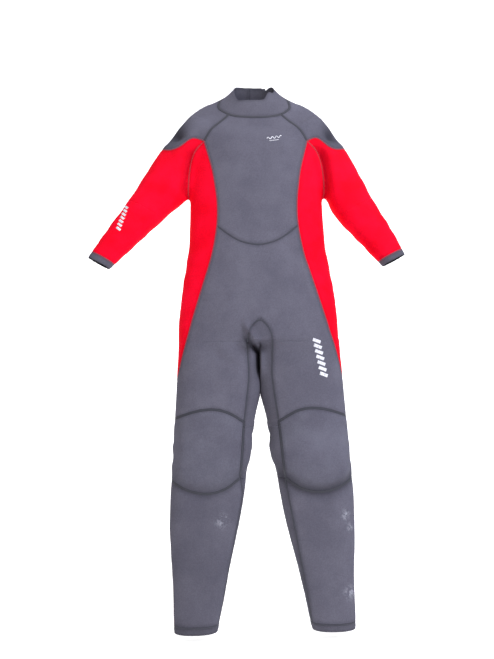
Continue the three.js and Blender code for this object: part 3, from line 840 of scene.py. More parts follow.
def node(tree, kind, inputs=None, **options):
    """Adds a shader node with its options; an input is a value or another node's output."""
    made = tree.nodes.new(kind)
    for key, value in options.items():
        setattr(made, key, value)
    for key, value in (inputs or {}).items():
        if isinstance(value, bpy.types.NodeSocket):
            tree.links.new(value, made.inputs[key])
        else:
            made.inputs[key].default_value = value
    return made


def new_material(name):
    material = bpy.data.materials.new(name)
    material.use_nodes = True
    material.node_tree.nodes.clear()
    return material, material.node_tree


def finish(tree, colour, roughness, normal, **constants):
    """The last nodes of a material: its surface, with constants set on the surface's own sockets."""
    inputs = {"Base Color": colour, "Roughness": roughness, "Normal": normal}
    inputs.update({key.replace("_", " "): value for key, value in constants.items()})
    surface = node(tree, "ShaderNodeBsdfPrincipled", inputs)
    node(tree, "ShaderNodeOutputMaterial", {"Surface": surface.outputs["BSDF"]})


def wave_scale(millimetres):
    """The wave texture's scale for bands this far apart."""
    return 2 * math.pi / (20 * millimetres / 1000)


MM = 1000  # a noise or cell texture at this scale has features about a millimetre across


def jersey(name, colour, worn, pebble=0.0):
    """Nylon jersey bonded to neoprene foam: matte, faintly napped, dusty where it rubs.

    Its knit has 0.5 mm loops; courses and wales are drawn 1.8 mm apart so that they show.
    """
    material, tree = new_material(name)
    place = node(tree, "ShaderNodeTexCoord").outputs["Object"]
    patches = node(tree, "ShaderNodeTexNoise", {"Vector": place, "Scale": MM / 70, "Detail": 4.0, "Roughness": 0.6})
    specks = node(tree, "ShaderNodeTexNoise", {"Vector": place, "Scale": MM / 3, "Detail": 2.0})
    courses = node(
        tree, "ShaderNodeTexWave", {"Vector": place, "Scale": wave_scale(1.8), "Distortion": 0.6},
        bands_direction="Z",
    )
    wales = node(
        tree, "ShaderNodeTexWave", {"Vector": place, "Scale": wave_scale(1.8), "Distortion": 0.6},
        bands_direction="X",
    )
    knit = node(tree, "ShaderNodeMath", {0: courses.outputs["Fac"], 1: wales.outputs["Fac"]}, operation="MULTIPLY")
    fade = node(tree, "ShaderNodeMapRange", {0: patches.outputs["Fac"], 1: 0.35, 2: 0.70})
    base = node(
        tree, "ShaderNodeMix", {0: fade.outputs[0], 6: linear(colour), 7: linear(worn)}, data_type="RGBA"
    )
    mottled = node(
        tree, "ShaderNodeMapRange", {0: specks.outputs["Fac"], 1: 0.3, 2: 0.7, 3: 0.90, 4: 1.07}
    )
    threads = node(tree, "ShaderNodeMapRange", {0: knit.outputs[0], 3: 0.93, 4: 1.05})
    shade = node(tree, "ShaderNodeMath", {0: mottled.outputs[0], 1: threads.outputs[0]}, operation="MULTIPLY")
    seam = node(tree, "ShaderNodeAttribute", attribute_name="seam_distance")
    # Painted shade in the seam grooves: the cloth darkened by up to a fifth within about a centimetre of a seam.
    painted_seam_shade = node(tree, "ShaderNodeMapRange", {0: seam.outputs["Fac"], 1: 0.002, 2: 0.011, 3: 0.80, 4: 1.0})
    shade = node(tree, "ShaderNodeMath", {0: shade.outputs[0], 1: painted_seam_shade.outputs[0]}, operation="MULTIPLY")
    # Painted shade and highlight: the colour is scaled by one less the hollow layer, darker where it is above zero and
    # brighter where it is below.
    hollow = node(tree, "ShaderNodeAttribute", attribute_name="hollow")
    painted_light = node(tree, "ShaderNodeMath", {0: 1.0, 1: hollow.outputs["Fac"]}, operation="SUBTRACT")
    shade = node(tree, "ShaderNodeMath", {0: shade.outputs[0], 1: painted_light.outputs[0]}, operation="MULTIPLY")
    tinted = node(
        tree, "ShaderNodeVectorMath", {0: base.outputs[2], "Scale": shade.outputs[0]}, operation="SCALE"
    )
    scuff = node(tree, "ShaderNodeAttribute", attribute_name="scuff")
    streaks = node(tree, "ShaderNodeTexNoise", {"Vector": place, "Scale": MM / 12, "Detail": 6.0, "Roughness": 0.7})
    streak = node(tree, "ShaderNodeMapRange", {0: streaks.outputs["Fac"], 1: 0.46, 2: 0.60})
    chalk = node(tree, "ShaderNodeMath", {0: scuff.outputs["Fac"], 1: streak.outputs[0]}, operation="MULTIPLY")
    tinted = node(
        tree, "ShaderNodeMix", {0: chalk.outputs[0], 6: tinted.outputs[0], 7: linear("9C9CA6")}, data_type="RGBA"
    )
    pucker = node(tree, "ShaderNodeTexNoise", {"Vector": place, "Scale": MM / 7, "Detail": 1.0})
    near = node(tree, "ShaderNodeMapRange", {0: seam.outputs["Fac"], 1: 0.0, 2: 0.014, 3: 1.0, 4: 0.0})
    gather = node(tree, "ShaderNodeMath", {0: pucker.outputs["Fac"], 1: near.outputs[0]}, operation="MULTIPLY")
    relief = node(tree, "ShaderNodeMath", {0: gather.outputs[0], 1: 3.0, 2: knit.outputs[0]}, operation="MULTIPLY_ADD")
    height = relief.outputs[0]
    if pebble:
        cells = node(tree, "ShaderNodeTexVoronoi", {"Vector": place, "Scale": MM / pebble}, feature="F1")
        height = node(
            tree, "ShaderNodeMath", {0: cells.outputs["Distance"], 1: -2.0, 2: height}, operation="MULTIPLY_ADD"
        ).outputs[0]
    bump = node(tree, "ShaderNodeBump", {"Height": height, "Strength": 0.35, "Distance": 0.0006})
    rough = node(tree, "ShaderNodeMapRange", {0: patches.outputs["Fac"], 3: 0.72, 4: 0.90})
    finish(
        tree, tinted.outputs[2], rough.outputs[0], bump.outputs[0],
        Specular_IOR_Level=0.05, Sheen_Weight=0.01, Sheen_Roughness=0.45,
    )
    return material


def foam_lining(name):
    """The inside and the cut edges: black knitted lining on bare foam, which drinks nearly all light."""
    material, tree = new_material(name)
    place = node(tree, "ShaderNodeTexCoord").outputs["Object"]
    grain = node(tree, "ShaderNodeTexNoise", {"Vector": place, "Scale": MM / 2, "Detail": 3.0})
    colour = node(
        tree, "ShaderNodeMix", {0: grain.outputs["Fac"], 6: linear("101114"), 7: linear("26272C")},
        data_type="RGBA",
    )
    bump = node(tree, "ShaderNodeBump", {"Height": grain.outputs["Fac"], "Strength": 0.4, "Distance": 0.0005})
    rough = node(tree, "ShaderNodeMapRange", {0: grain.outputs["Fac"], 3: 0.85, 4: 1.0})
    finish(tree, colour.outputs[2], rough.outputs[0], bump.outputs[0], Specular_IOR_Level=0.2)
    return material


def flatlock(name, band, thread):
    """A flatlocked seam: a 7 mm band of crossed polyester thread between two rows of needle holes.

    Its map runs along the seam in metres and from -1 to 1 across. Stitches are 3.4 mm long.
    """
    material, tree = new_material(name)
    along = node(tree, "ShaderNodeSeparateXYZ", {0: node(tree, "ShaderNodeUVMap", uv_map="seam").outputs[0]})
    beat = node(tree, "ShaderNodeMath", {0: along.outputs[0], 1: 2 * math.pi / 0.0034}, operation="MULTIPLY")
    lean = node(tree, "ShaderNodeMath", {0: along.outputs[1], 1: 2.6, 2: beat.outputs[0]}, operation="MULTIPLY_ADD")
    stitches = node(tree, "ShaderNodeMath", {0: lean.outputs[0]}, operation="SINE")
    crossed = node(tree, "ShaderNodeMapRange", {0: stitches.outputs[0], 1: -0.4, 2: 0.8})
    edge = node(tree, "ShaderNodeMath", {0: along.outputs[1]}, operation="ABSOLUTE")
    needle = node(tree, "ShaderNodeMath", {0: edge.outputs[0], 1: 0.72, 2: 0.16}, operation="COMPARE")
    share = node(tree, "ShaderNodeMath", {0: needle.outputs[0], 1: 0.6, 2: 0.3}, operation="MULTIPLY_ADD")
    shown = node(tree, "ShaderNodeMath", {0: crossed.outputs[0], 1: share.outputs[0]}, operation="MULTIPLY")
    colour = node(
        tree, "ShaderNodeMix", {0: shown.outputs[0], 6: linear(band), 7: linear(thread)}, data_type="RGBA"
    )
    bump = node(tree, "ShaderNodeBump", {"Height": shown.outputs[0], "Strength": 0.7, "Distance": 0.0005})
    rough = node(tree, "ShaderNodeMapRange", {0: crossed.outputs[0], 3: 0.85, 4: 0.6})
    finish(tree, colour.outputs[2], rough.outputs[0], bump.outputs[0], Specular_IOR_Level=0.3)
    return material


def woven_tape(name):
    """Polyester zip tape and hook-and-loop straps: a tight black weave, drawn at a 1.4 mm pitch."""
    material, tree = new_material(name)
    place = node(tree, "ShaderNodeTexCoord").outputs["Object"]
    warp = node(
        tree, "ShaderNodeTexWave", {"Vector": place, "Scale": wave_scale(1.4), "Distortion": 0.3},
        bands_direction="DIAGONAL",
    )
    fuzz = node(tree, "ShaderNodeTexNoise", {"Vector": place, "Scale": MM / 1.5, "Detail": 3.0})
    height = node(tree, "ShaderNodeMath", {0: warp.outputs["Fac"], 1: fuzz.outputs["Fac"]}, operation="ADD")
    colour = node(
        tree, "ShaderNodeMix", {0: fuzz.outputs["Fac"], 6: linear("131417"), 7: linear("303238")},
        data_type="RGBA",
    )
    bump = node(tree, "ShaderNodeBump", {"Height": height.outputs[0], "Strength": 0.5, "Distance": 0.0005})
    rough = node(tree, "ShaderNodeMapRange", {0: fuzz.outputs["Fac"], 3: 0.7, 4: 0.95})
    finish(tree, colour.outputs[2], rough.outputs[0], bump.outputs[0], Sheen_Weight=0.2)
    return material


def moulded_acetal(name):
    """Injection-moulded acetal zip teeth: smooth, black and slightly glossy, dulled by salt."""
    material, tree = new_material(name)
    place = node(tree, "ShaderNodeTexCoord").outputs["Object"]
    salt = node(tree, "ShaderNodeTexNoise", {"Vector": place, "Scale": MM / 9, "Detail": 4.0})
    colour = node(
        tree, "ShaderNodeMix", {0: salt.outputs["Fac"], 6: linear("1A1B1F"), 7: linear("3A3C42")},
        data_type="RGBA",
    )
    bump = node(tree, "ShaderNodeBump", {"Height": salt.outputs["Fac"], "Strength": 0.15, "Distance": 0.0003})
    rough = node(tree, "ShaderNodeMapRange", {0: salt.outputs["Fac"], 3: 0.30, 4: 0.55})
    finish(tree, colour.outputs[2], rough.outputs[0], bump.outputs[0], IOR=1.48)
    return material


def cast_zinc(name):
    """Die-cast zinc slider and puller, tumbled and plated: soft grey gloss with fine scratches."""
    material, tree = new_material(name)
    place = node(tree, "ShaderNodeTexCoord").outputs["Object"]
    stretch = node(tree, "ShaderNodeMapping", {"Vector": place, "Scale": (1.0, 1.0, 0.15)})
    scratches = node(tree, "ShaderNodeTexNoise", {"Vector": stretch.outputs[0], "Scale": MM / 0.8, "Detail": 4.0})
    colour = node(
        tree, "ShaderNodeMix", {0: scratches.outputs["Fac"], 6: linear("8E9096"), 7: linear("B9BBC0")},
        data_type="RGBA",
    )
    bump = node(tree, "ShaderNodeBump", {"Height": scratches.outputs["Fac"], "Strength": 0.2, "Distance": 0.0002})
    rough = node(tree, "ShaderNodeMapRange", {0: scratches.outputs["Fac"], 3: 0.22, 4: 0.42})
    finish(tree, colour.outputs[2], rough.outputs[0], bump.outputs[0], Metallic=1.0)
    return material


def printed_ink(name, colour):
    """A heat-transferred silicone print: pale and smooth, with fine cracks where the suit stretches."""
    material, tree = new_material(name)
    place = node(tree, "ShaderNodeTexCoord").outputs["Object"]
    cracks = node(tree, "ShaderNodeTexVoronoi", {"Vector": place, "Scale": MM / 5}, feature="DISTANCE_TO_EDGE")
    open_cracks = node(tree, "ShaderNodeMapRange", {0: cracks.outputs["Distance"], 1: 0.0, 2: 0.08})
    tone = node(
        tree, "ShaderNodeMix", {0: open_cracks.outputs[0], 6: linear("A9A9B2"), 7: linear(colour)},
        data_type="RGBA",
    )
    bump = node(tree, "ShaderNodeBump", {"Height": open_cracks.outputs[0], "Strength": 0.2, "Distance": 0.0002})
    rough = node(tree, "ShaderNodeMapRange", {0: open_cracks.outputs[0], 3: 0.7, 4: 0.45})
    finish(tree, tone.outputs[2], rough.outputs[0], bump.outputs[0], IOR=1.41)
    return material


def studio_paper(name):
    """Seamless white paper, lit so evenly that it reads as plain pale ground."""
    material, tree = new_material(name)
    place = node(tree, "ShaderNodeTexCoord").outputs["Object"]
    grain = node(tree, "ShaderNodeTexNoise", {"Vector": place, "Scale": 40.0})
    colour = node(
        tree, "ShaderNodeMix", {0: grain.outputs["Fac"], 6: linear("F4F4F4"), 7: linear("FAFAFA")},
        data_type="RGBA",
    )
    bump = node(tree, "ShaderNodeBump", {"Height": grain.outputs["Fac"], "Strength": 0.02})
    rough = node(tree, "ShaderNodeMapRange", {0: grain.outputs["Fac"], 3: 0.9, 4: 1.0})
    finish(
        tree, colour.outputs[2], rough.outputs[0], bump.outputs[0],
        Emission_Color=(1.0, 1.0, 1.0, 1.0), Emission_Strength=0.75, Specular_IOR_Level=0.0,
    )
    return material


def mix_materials():
    choice = settings()
    return {
        "grey": jersey("grey_nylon_jersey_on_neoprene", choice.grey, choice.grey_worn),
        "red": jersey("red_nylon_jersey_on_neoprene", choice.red, choice.red_worn),
        "dark": jersey("dark_nylon_jersey_on_neoprene", choice.dark, choice.dark_worn),
        "pad": jersey("embossed_jersey_on_knee_padding", choice.pad, choice.pad_worn, pebble=3.0),
        "lining": foam_lining("black_knitted_lining_on_foam"),
        "bold thread": flatlock("dark_polyester_flatlock", "3F3F47", "1B1B1F"),
        "fine thread": flatlock("grey_polyester_flatlock", "45454E", "26262C"),
        "edge thread": flatlock("mauve_polyester_flatlock", "6E3A46", "9A5A66"),
        "red thread": flatlock("red_polyester_flatlock", "B0081C", "D0505C"),
        "tape": woven_tape("black_woven_polyester"),
        "teeth": moulded_acetal("black_moulded_acetal"),
        "metal": cast_zinc("plated_cast_zinc"),
        "ink": printed_ink("pale_silicone_print", "E4E4EA"),
    }


def material(key):
    if "materials" not in workshop:
        workshop["materials"] = mix_materials()
    return workshop["materials"][key]


# ---- Pieces from the skin -------------------------------------------------------------------------------------
def thicken(piece, thickness, offset=-1.0, inside=0):
    wall = piece.modifiers.new("wall", "SOLIDIFY")
    wall.thickness = thickness
    wall.offset = offset
    wall.material_offset = inside
    wall.material_offset_rim = inside
    return wall


def hung(panel):
    """Works out the hanging length of a panel, a flat piece of neoprene in life, from its mesh, at least 12 mm;
    nothing further is done with it.
    """
    corners = coordinates(panel.data.vertices)
    length = float(np.ptp(corners[:, 2]))
    length = max(length, 0.012)


def finish_panel(name):
    """Gives a cut panel its material, wall and motion, and hides the CAD parts it stands for."""
    panel = workshop["panels"][name]
    base, hand = plain(name)
    bend, look, nodes, above = PANELS[base]
    end = f"_{hand}" if hand else ""
    panel.data.materials.clear()
    panel.data.materials.append(material(look))
    panel.data.materials.append(material("lining"))
    for face in panel.data.polygons:
        face.material_index = 0
        face.use_smooth = True
    thicken(panel, settings().neoprene, inside=0 if base.startswith("collar") else 1)
    fasten(panel, bend, hand)
    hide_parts(*(node_name + end for node_name in nodes))
    if above in PANELS and f"{above}{end}" in workshop["panels"]:
        above += end
    if look == "pad":
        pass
    else:
        hung(panel)


def finish_panels(*bases):
    for name in sorted(workshop["panels"]):
        if plain(name)[0] in bases:
            finish_panel(name)


def chains(edges):
    """Sorts loose edges into paths of points, each open or closed."""
    links = {}
    for edge in edges:
        a, b = edge.verts
        links.setdefault(a, []).append(b)
        links.setdefault(b, []).append(a)
    paths, used = [], set()
    starts = [vert for vert, others in links.items() if len(others) != 2] + list(links)
    for start in starts:
        for step in links[start]:
            if frozenset((start, step)) in used:
                continue
            path, here, ahead = [start], start, step
            while True:
                used.add(frozenset((here, ahead)))
                path.append(ahead)
                onward = [vert for vert in links[ahead] if frozenset((ahead, vert)) not in used]
                if len(links[ahead]) != 2 or not onward:
                    break
                here, ahead = ahead, onward[0]
            paths.append(np.array([vert.co for vert in path], float))
    return paths


def even_steps(path, step):
    """The path with its jitter smoothed away and points at even steps."""
    fine = path.copy()
    for _ in range(4):
        fine[1:-1] = (fine[:-2] + 2 * fine[1:-1] + fine[2:]) / 4
    run = np.concatenate([[0], np.cumsum(np.linalg.norm(np.diff(fine, axis=0), axis=1))])
    count = max(2, round(run[-1] / step) + 1)
    at = np.linspace(0, run[-1], count)
    return np.stack([np.interp(at, run, fine[:, axis]) for axis in range(3)], 1), at


RIBBON_ACROSS = ((-1.0, 0.0001), (-0.62, 0.0007), (0.0, 0.0004), (0.62, 0.0007), (1.0, 0.0001))


def lay_ribbon(bm, path, width, closed_lift=0.0):
    """A strip laid along a path on the skin: a grid whose rows cross the path."""
    points, run = even_steps(path, 0.004)
    ahead = np.gradient(points, axis=0)
    rows = len(points)
    grid = bmesh.ops.create_grid(bm, x_segments=rows - 1, y_segments=len(RIBBON_ACROSS) - 1, size=1.0)["verts"]
    uv = bm.loops.layers.uv.get("seam") or bm.loops.layers.uv.new("seam")
    spots = {}
    for vert in grid:
        row = round((vert.co.x + 1) / 2 * (rows - 1))
        column = round((vert.co.y + 1) / 2 * (len(RIBBON_ACROSS) - 1))
        spots[vert] = (row, column)
    for vert, (row, column) in spots.items():
        share, lift = RIBBON_ACROSS[column]
        middle = Vector(points[row])
        _, normal, _, _ = workshop["skin"].find_nearest(middle)
        sideways = Vector(ahead[row]).cross(normal).normalized()
        place, normal, _, _ = workshop["skin"].find_nearest(middle + sideways * share * width / 2)
        vert.co = place + normal * (lift + closed_lift)
    for face in {face for vert in grid for face in vert.link_faces}:
        face.smooth = True
        for loop in face.loops:
            row, column = spots[loop.vert]
            loop[uv].uv = (run[row], RIBBON_ACROSS[column][0])
        face.normal_update()
        _, normal, _, _ = workshop["skin"].find_nearest(face.calc_center_median())
        if face.normal.dot(normal) < 0:
            face.normal_flip()


class WetsuitSettings(bpy.types.PropertyGroup):
    """Sizes and colours of the suit."""

    voxel: bpy.props.FloatProperty(
        name="Skin Grain", description="Size of the skin's faces", default=0.005, min=0.003, max=0.01,
        subtype="DISTANCE", unit="LENGTH",
    )
    neoprene: bpy.props.FloatProperty(
        name="Neoprene", description="Thickness of the neoprene", default=0.003, min=0.001, max=0.007,
        subtype="DISTANCE", unit="LENGTH",
    )
    knee_fill: bpy.props.FloatProperty(
        name="Knee Fill", description="How far a knee pad stands proud", default=0.012, min=0.0, max=0.02,
        subtype="DISTANCE", unit="LENGTH",
    )
    seam_width: bpy.props.FloatProperty(
        name="Seam Width", description="Width of a flatlocked seam", default=0.007, min=0.004, max=0.01,
        subtype="DISTANCE", unit="LENGTH",
    )
    tooth_pitch: bpy.props.FloatProperty(
        name="Tooth Pitch", description="Distance between two zip teeth on one side", default=0.0034,
        min=0.002, max=0.006, subtype="DISTANCE", unit="LENGTH",
    )
    grey: bpy.props.StringProperty(name="Grey", description="Grey jersey, sRGB hex", default="5D5B67")
    grey_worn: bpy.props.StringProperty(name="Worn Grey", description="Grey jersey, rubbed", default="676571")
    red: bpy.props.StringProperty(name="Red", description="Red jersey, sRGB hex", default="EE0020")
    red_worn: bpy.props.StringProperty(name="Worn Red", description="Red jersey, rubbed", default="FA0830")
    dark: bpy.props.StringProperty(name="Dark", description="Dark jersey, sRGB hex", default="595762")
    dark_worn: bpy.props.StringProperty(name="Worn Dark", description="Dark jersey, rubbed", default="62606B")
    pad: bpy.props.StringProperty(name="Pad", description="Knee pad, sRGB hex", default="5B5965")
    pad_worn: bpy.props.StringProperty(name="Worn Pad", description="Knee pad, rubbed", default="666571")


class WETSUIT_OT_skin(bpy.types.Operator):
    """Builds the suit's skin and cuts it along its seam lines"""

    bl_idname = "wetsuit.skin"
    bl_label = "Cut the Skin"

    def execute(self, context):
        bm = merged(tubes(), settings().voxel)
        smoothed(bm)
        sculpt(bm)
        rest = [bm.verts.layers.float.new("rest_" + axis) for axis in "xyz"]
        for measure, zone in CUTS:
            cut(bm, rest, measure, zone)
        bmesh.ops.remove_doubles(bm, verts=bm.verts, dist=0.0006)
        bmesh.ops.dissolve_degenerate(bm, edges=bm.edges, dist=0.0003)
        bm.faces.index_update()
        names = face_names(bm)
        swing_sleeves(bm)
        borders = edge_sides(bm, names)
        press_seams(bm, borders)
        bmesh.ops.translate(bm, verts=bm.verts, vec=(0, 0, -HANGER))
        workshop["skin"] = BVHTree.FromBMesh(bm)
        order = sorted(set(names) - {"waste"})
        seams = {}
        for edge, sides in borders:
            if "waste" not in sides and not unsewn(sides):
                seams.setdefault(sides, []).append(edge)
        workshop["seams"] = {pair: chains(edges) for pair, edges in seams.items()}
        for face in bm.faces:
            face.material_index = order.index(names[face.index]) if names[face.index] != "waste" else 0
        waste = [face for face in bm.faces if names[face.index] == "waste"]
        bmesh.ops.delete(bm, geom=waste, context="FACES")
        skin = link(bm, "skin", *(bpy.data.materials.new("panel " + name) for name in order))
        skin.data.attributes.remove(skin.data.attributes["rest_x"])
        skin.data.attributes.remove(skin.data.attributes["rest_y"])
        skin.data.attributes.remove(skin.data.attributes["rest_z"])
        before = set(bpy.data.objects)
        context.view_layer.objects.active = skin
        skin.select_set(True)
        bpy.ops.object.mode_set(mode="EDIT")
        bpy.ops.mesh.select_all(action="SELECT")
        bpy.ops.mesh.separate(type="MATERIAL")
        bpy.ops.object.mode_set(mode="OBJECT")
        workshop["panels"] = {}
        for piece in [skin, *(set(bpy.data.objects) - before)]:
            index = piece.data.polygons[0].material_index
            name = piece.data.materials[index].name.removeprefix("panel ")
            piece.name = name + "_neoprene"
            workshop["panels"][name] = piece
            overlap_splits(piece)
        return {"FINISHED"}


class WETSUIT_OT_seams(bpy.types.Operator):
    """Lays a flatlocked band along every sewn seam"""

    bl_idname = "wetsuit.seams"
    bl_label = "Sew the Seams"

    def execute(self, context):
        made, owners = {}, {}
        for pair, paths in sorted(workshop["seams"].items(), key=lambda item: sorted(item[0])):
            sides = [plain(name) for name in sorted(pair)]
            base, hand = max(sides, key=lambda side: BEND_ORDER.index(PANELS[side[0]][0]))
            bend = PANELS[base][0]
            hand = None if bend == "trunk" else hand
            style = stitching({base for base, _ in sides})
            key = (bend, hand, style)
            bm = made.setdefault(key, bmesh.new())
            owner = base + (f"_{hand}" if hand else "") if bend != "trunk" else "chest_panel"
            owners.setdefault(key, owner)
            for path in paths:
                if np.linalg.norm(np.diff(path, axis=0), axis=1).sum() > 0.006:
                    lay_ribbon(bm, path, settings().seam_width * STITCH_WIDTHS[style])
        workshop["ribbons"] = {}
        for (bend, hand, thread), bm in made.items():
            if not bm.verts:
                bm.free()
                continue
            name = "_".join(["flatlock", bend, hand or "both", thread])
            ribbon = link(bm, name, material(thread + " thread"))
            thicken(ribbon, 0.0005, offset=-1.0)
            fasten(ribbon, bend, hand)
            workshop["ribbons"].setdefault(owners[bend, hand, thread], []).append(name)
        return {"FINISHED"}


class WETSUIT_OT_trunk(bpy.types.Operator):
    """Finishes the panels of the trunk"""

    bl_idname = "wetsuit.trunk"
    bl_label = "Trunk Panels"

    def execute(self, context):
        finish_panels(
            "chest_panel", "lower_front_panel", "crotch_gusset", "seat_panel", "back_panel", "side_panel",
            "shoulder_panel",
        )
        return {"FINISHED"}


class WETSUIT_OT_collar(bpy.types.Operator):
    """Finishes the collar and lays its closing tab over the nape"""

    bl_idname = "wetsuit.collar"
    bl_label = "Collar and Tab"

    def execute(self, context):
        finish_panels("collar_front", "collar_back")
        low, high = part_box("collar_tab")
        bm = bmesh.new()
        grid = bmesh.ops.create_grid(bm, x_segments=24, y_segments=8, size=1.0)["verts"]
        for vert in grid:
            share, rise = vert.co.x, vert.co.y
            rise *= 1 - 0.35 * max(0, -share - 0.8) / 0.2
            x = (low.x + high.x) / 2 + share * (high.x - low.x) / 2
            z = (low.z + high.z) / 2 + rise * (high.z - low.z) / 2
            near = workshop["skin"].ray_cast(Vector((x, 0.3, z)), Vector((0, -1, 0)))
            vert.co = near[0] + near[1] * 0.0012
        for face in bm.faces:
            face.smooth = True
            face.normal_update()
        if sum(face.normal.y for face in bm.faces) < 0:
            bmesh.ops.reverse_faces(bm, faces=bm.faces)
        tab = link(bm, "collar_tab_strap", material("tape"))
        thicken(tab, 0.0022, offset=1.0)
        edge = tab.modifiers.new("soft edge", "BEVEL")
        edge.width = 0.0006
        edge.segments = 2
        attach(tab, "collar_tab")
        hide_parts("collar_tab")
        return {"FINISHED"}


class WETSUIT_OT_sleeves(bpy.types.Operator):
    """Finishes the sleeves and their cuffs"""

    bl_idname = "wetsuit.sleeves"
    bl_label = "Sleeves"

    def execute(self, context):
        finish_panels("sleeve_upper", "sleeve_lower", "cuff_hem")
        return {"FINISHED"}


class WETSUIT_OT_legs(bpy.types.Operator):
    """Finishes the legs, their knee pads and their hems"""

    bl_idname = "wetsuit.legs"
    bl_label = "Legs"

    def execute(self, context):
        finish_panels(
            "thigh_front", "thigh_back", "side_tip", "inner_thigh", "knee_pad", "knee_back", "inner_knee",
            "shin_panel", "calf_panel", "calf_side_panel", "inner_calf", "ankle_hem",
        )
        return {"FINISHED"}


def back_y(x, z):
    """How far back the skin stands at a point of the zip."""
    return workshop["skin"].ray_cast(Vector((x, 0.3, z)), Vector((0, -1, 0)))[0].y


class WETSUIT_OT_zip(bpy.types.Operator):
    """Builds the back zip's two tapes and two rows of teeth, and gives the stop, the slider and its puller their
    materials
    """

    bl_idname = "wetsuit.zip"
    bl_label = "Back Zip"

    def execute(self, context):
        bottom, top = ZIP_BOTTOM + STOP_HEIGHT - HANGER, ZIP_TOP - HANGER
        for hand, sign in SIDES.items():
            bm = bmesh.new()
            for vert in bmesh.ops.create_grid(bm, x_segments=4, y_segments=90, size=1.0)["verts"]:
                x = sign * (0.0030 + (vert.co.x + 1) / 2 * (TAPE_HALF + 0.002 - 0.0030))
                z = bottom + (vert.co.y + 1) / 2 * (top - bottom)
                vert.co = (x, back_y(x, z) - 0.0012 - 0.0014 * ease(abs(x), 0.014, 0.018), z)
            bmesh.ops.recalc_face_normals(bm, faces=bm.faces)
            if bm.faces[:][0].normal.y < 0:
                bmesh.ops.reverse_faces(bm, faces=bm.faces)
            tape = link(bm, f"zip_tape_{hand}_woven", material("tape"))
            thicken(tape, 0.0008)
            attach(tape, "trunk")
            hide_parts(f"zip_tape_{hand}")

            bm = bmesh.new()
            pitch = settings().tooth_pitch
            count = int((top - bottom) / pitch)
            for index in range(count):
                z = bottom + pitch * (index + (0.25 if sign > 0 else 0.75))
                tooth = bmesh.ops.create_cube(bm, size=1.0)["verts"]
                bmesh.ops.scale(bm, verts=tooth, vec=(0.0046, 0.0026, 0.0015))
                bmesh.ops.translate(bm, verts=tooth, vec=(sign * 0.0013, back_y(0, z) - 0.0010, z))
            bmesh.ops.bevel(
                bm, geom=bm.edges[:], offset=0.0003, segments=1, profile=0.5, affect="EDGES", material=-1
            )
            teeth = link(bm, f"zip_teeth_{hand}", material("teeth"))
            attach(teeth, "trunk")
            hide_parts(f"zip_chain_{hand}")
        for node_name, look in (("zip_bottom_stop", "teeth"), ("zip_slider", "metal"), ("zip_puller", "metal")):
            part = frame["nodes"][node_name]
            part.data.materials.clear()
            part.data.materials.append(material(look))
        return {"FINISHED"}


def stroke(bm, points, width):
    """A flat mark on the front of the suit, along points of (x, height)."""
    line = np.array(points, float)
    run = np.concatenate([[0], np.cumsum(np.hypot(*np.diff(line, axis=0).T))])
    rows = max(3, round(run[-1] / 0.002) + 1)
    at = np.linspace(0, run[-1], rows)
    line = np.stack([np.interp(at, run, line[:, axis]) for axis in range(2)], 1)
    ahead = np.gradient(line, axis=0)
    ahead /= np.linalg.norm(ahead, axis=1)[:, None]
    columns = max(2, round(width / 0.002) + 1)
    grid = bmesh.ops.create_grid(bm, x_segments=rows - 1, y_segments=columns - 1, size=1.0)["verts"]
    for vert in grid:
        row = round((vert.co.x + 1) / 2 * (rows - 1))
        aside = vert.co.y * width / 2
        x = line[row][0] - ahead[row][1] * aside
        z = line[row][1] + ahead[row][0] * aside
        spot = Vector((x, -0.5, z - HANGER))
        place, normal, _, _ = workshop["skin"].ray_cast(spot, Vector((0, 1, 0)))
        if place is None:
            spot.y = -0.1
            place, normal, _, _ = workshop["skin"].find_nearest(spot)
        vert.co = place + normal * 0.0004
    for face in {face for vert in grid for face in vert.link_faces}:
        face.smooth = True
        face.normal_update()
        if face.normal.y > 0:
            face.normal_flip()


def bars(bm, start, end, count, width, gap=0.26, lean=0.25):
    """A row of slanting bars from one point to another: each a short stroke across the row."""
    a, b = np.array(start), np.array(end)
    ahead = (b - a) / np.linalg.norm(b - a)
    across = np.array([-ahead[1], ahead[0]])
    pitch = np.linalg.norm(b - a) / count
    for index in range(count):
        middle = a + ahead * pitch * (index + 0.5)
        reach = across * width / 2 + ahead * width * lean / 2
        stroke(bm, [middle - reach, middle + reach], pitch * (1 - gap))


class WETSUIT_OT_prints(bpy.types.Operator):
    """Prints the suit's plain marks: a wave on the chest, and bars on one thigh and one forearm"""

    bl_idname = "wetsuit.prints"
    bl_label = "Prints"

    def execute(self, context):
        def print_piece(bm, name, bend, hand):
            mark = link(bm, name, material("ink"))
            thicken(mark, 0.0003, offset=-1.0)
            fasten(mark, bend, hand)
            return mark

        bm = bmesh.new()
        wave = [(0.030 + 0.040 * k / 24, 1.246 + 0.008 * k / 24 + 0.0035 * math.sin(k * 0.9)) for k in range(25)]
        stroke(bm, wave, 0.0020)
        stroke(bm, [(0.036, 1.239), (0.062, 1.243)], 0.0014)
        print_piece(bm, "chest_wave_print", "trunk", None)
        bm = bmesh.new()
        bars(bm, (0.143, 0.697), (0.160, 0.597), 7, 0.018, gap=0.42, lean=0.6)
        print_piece(bm, "thigh_bars_print", "hip", "left")
        bm = bmesh.new()
        bars(bm, (-0.346, 1.058), (-0.362, 0.980), 7, 0.012, gap=0.45, lean=0.6)
        print_piece(bm, "forearm_bars_print", "elbow", "right")
        return {"FINISHED"}


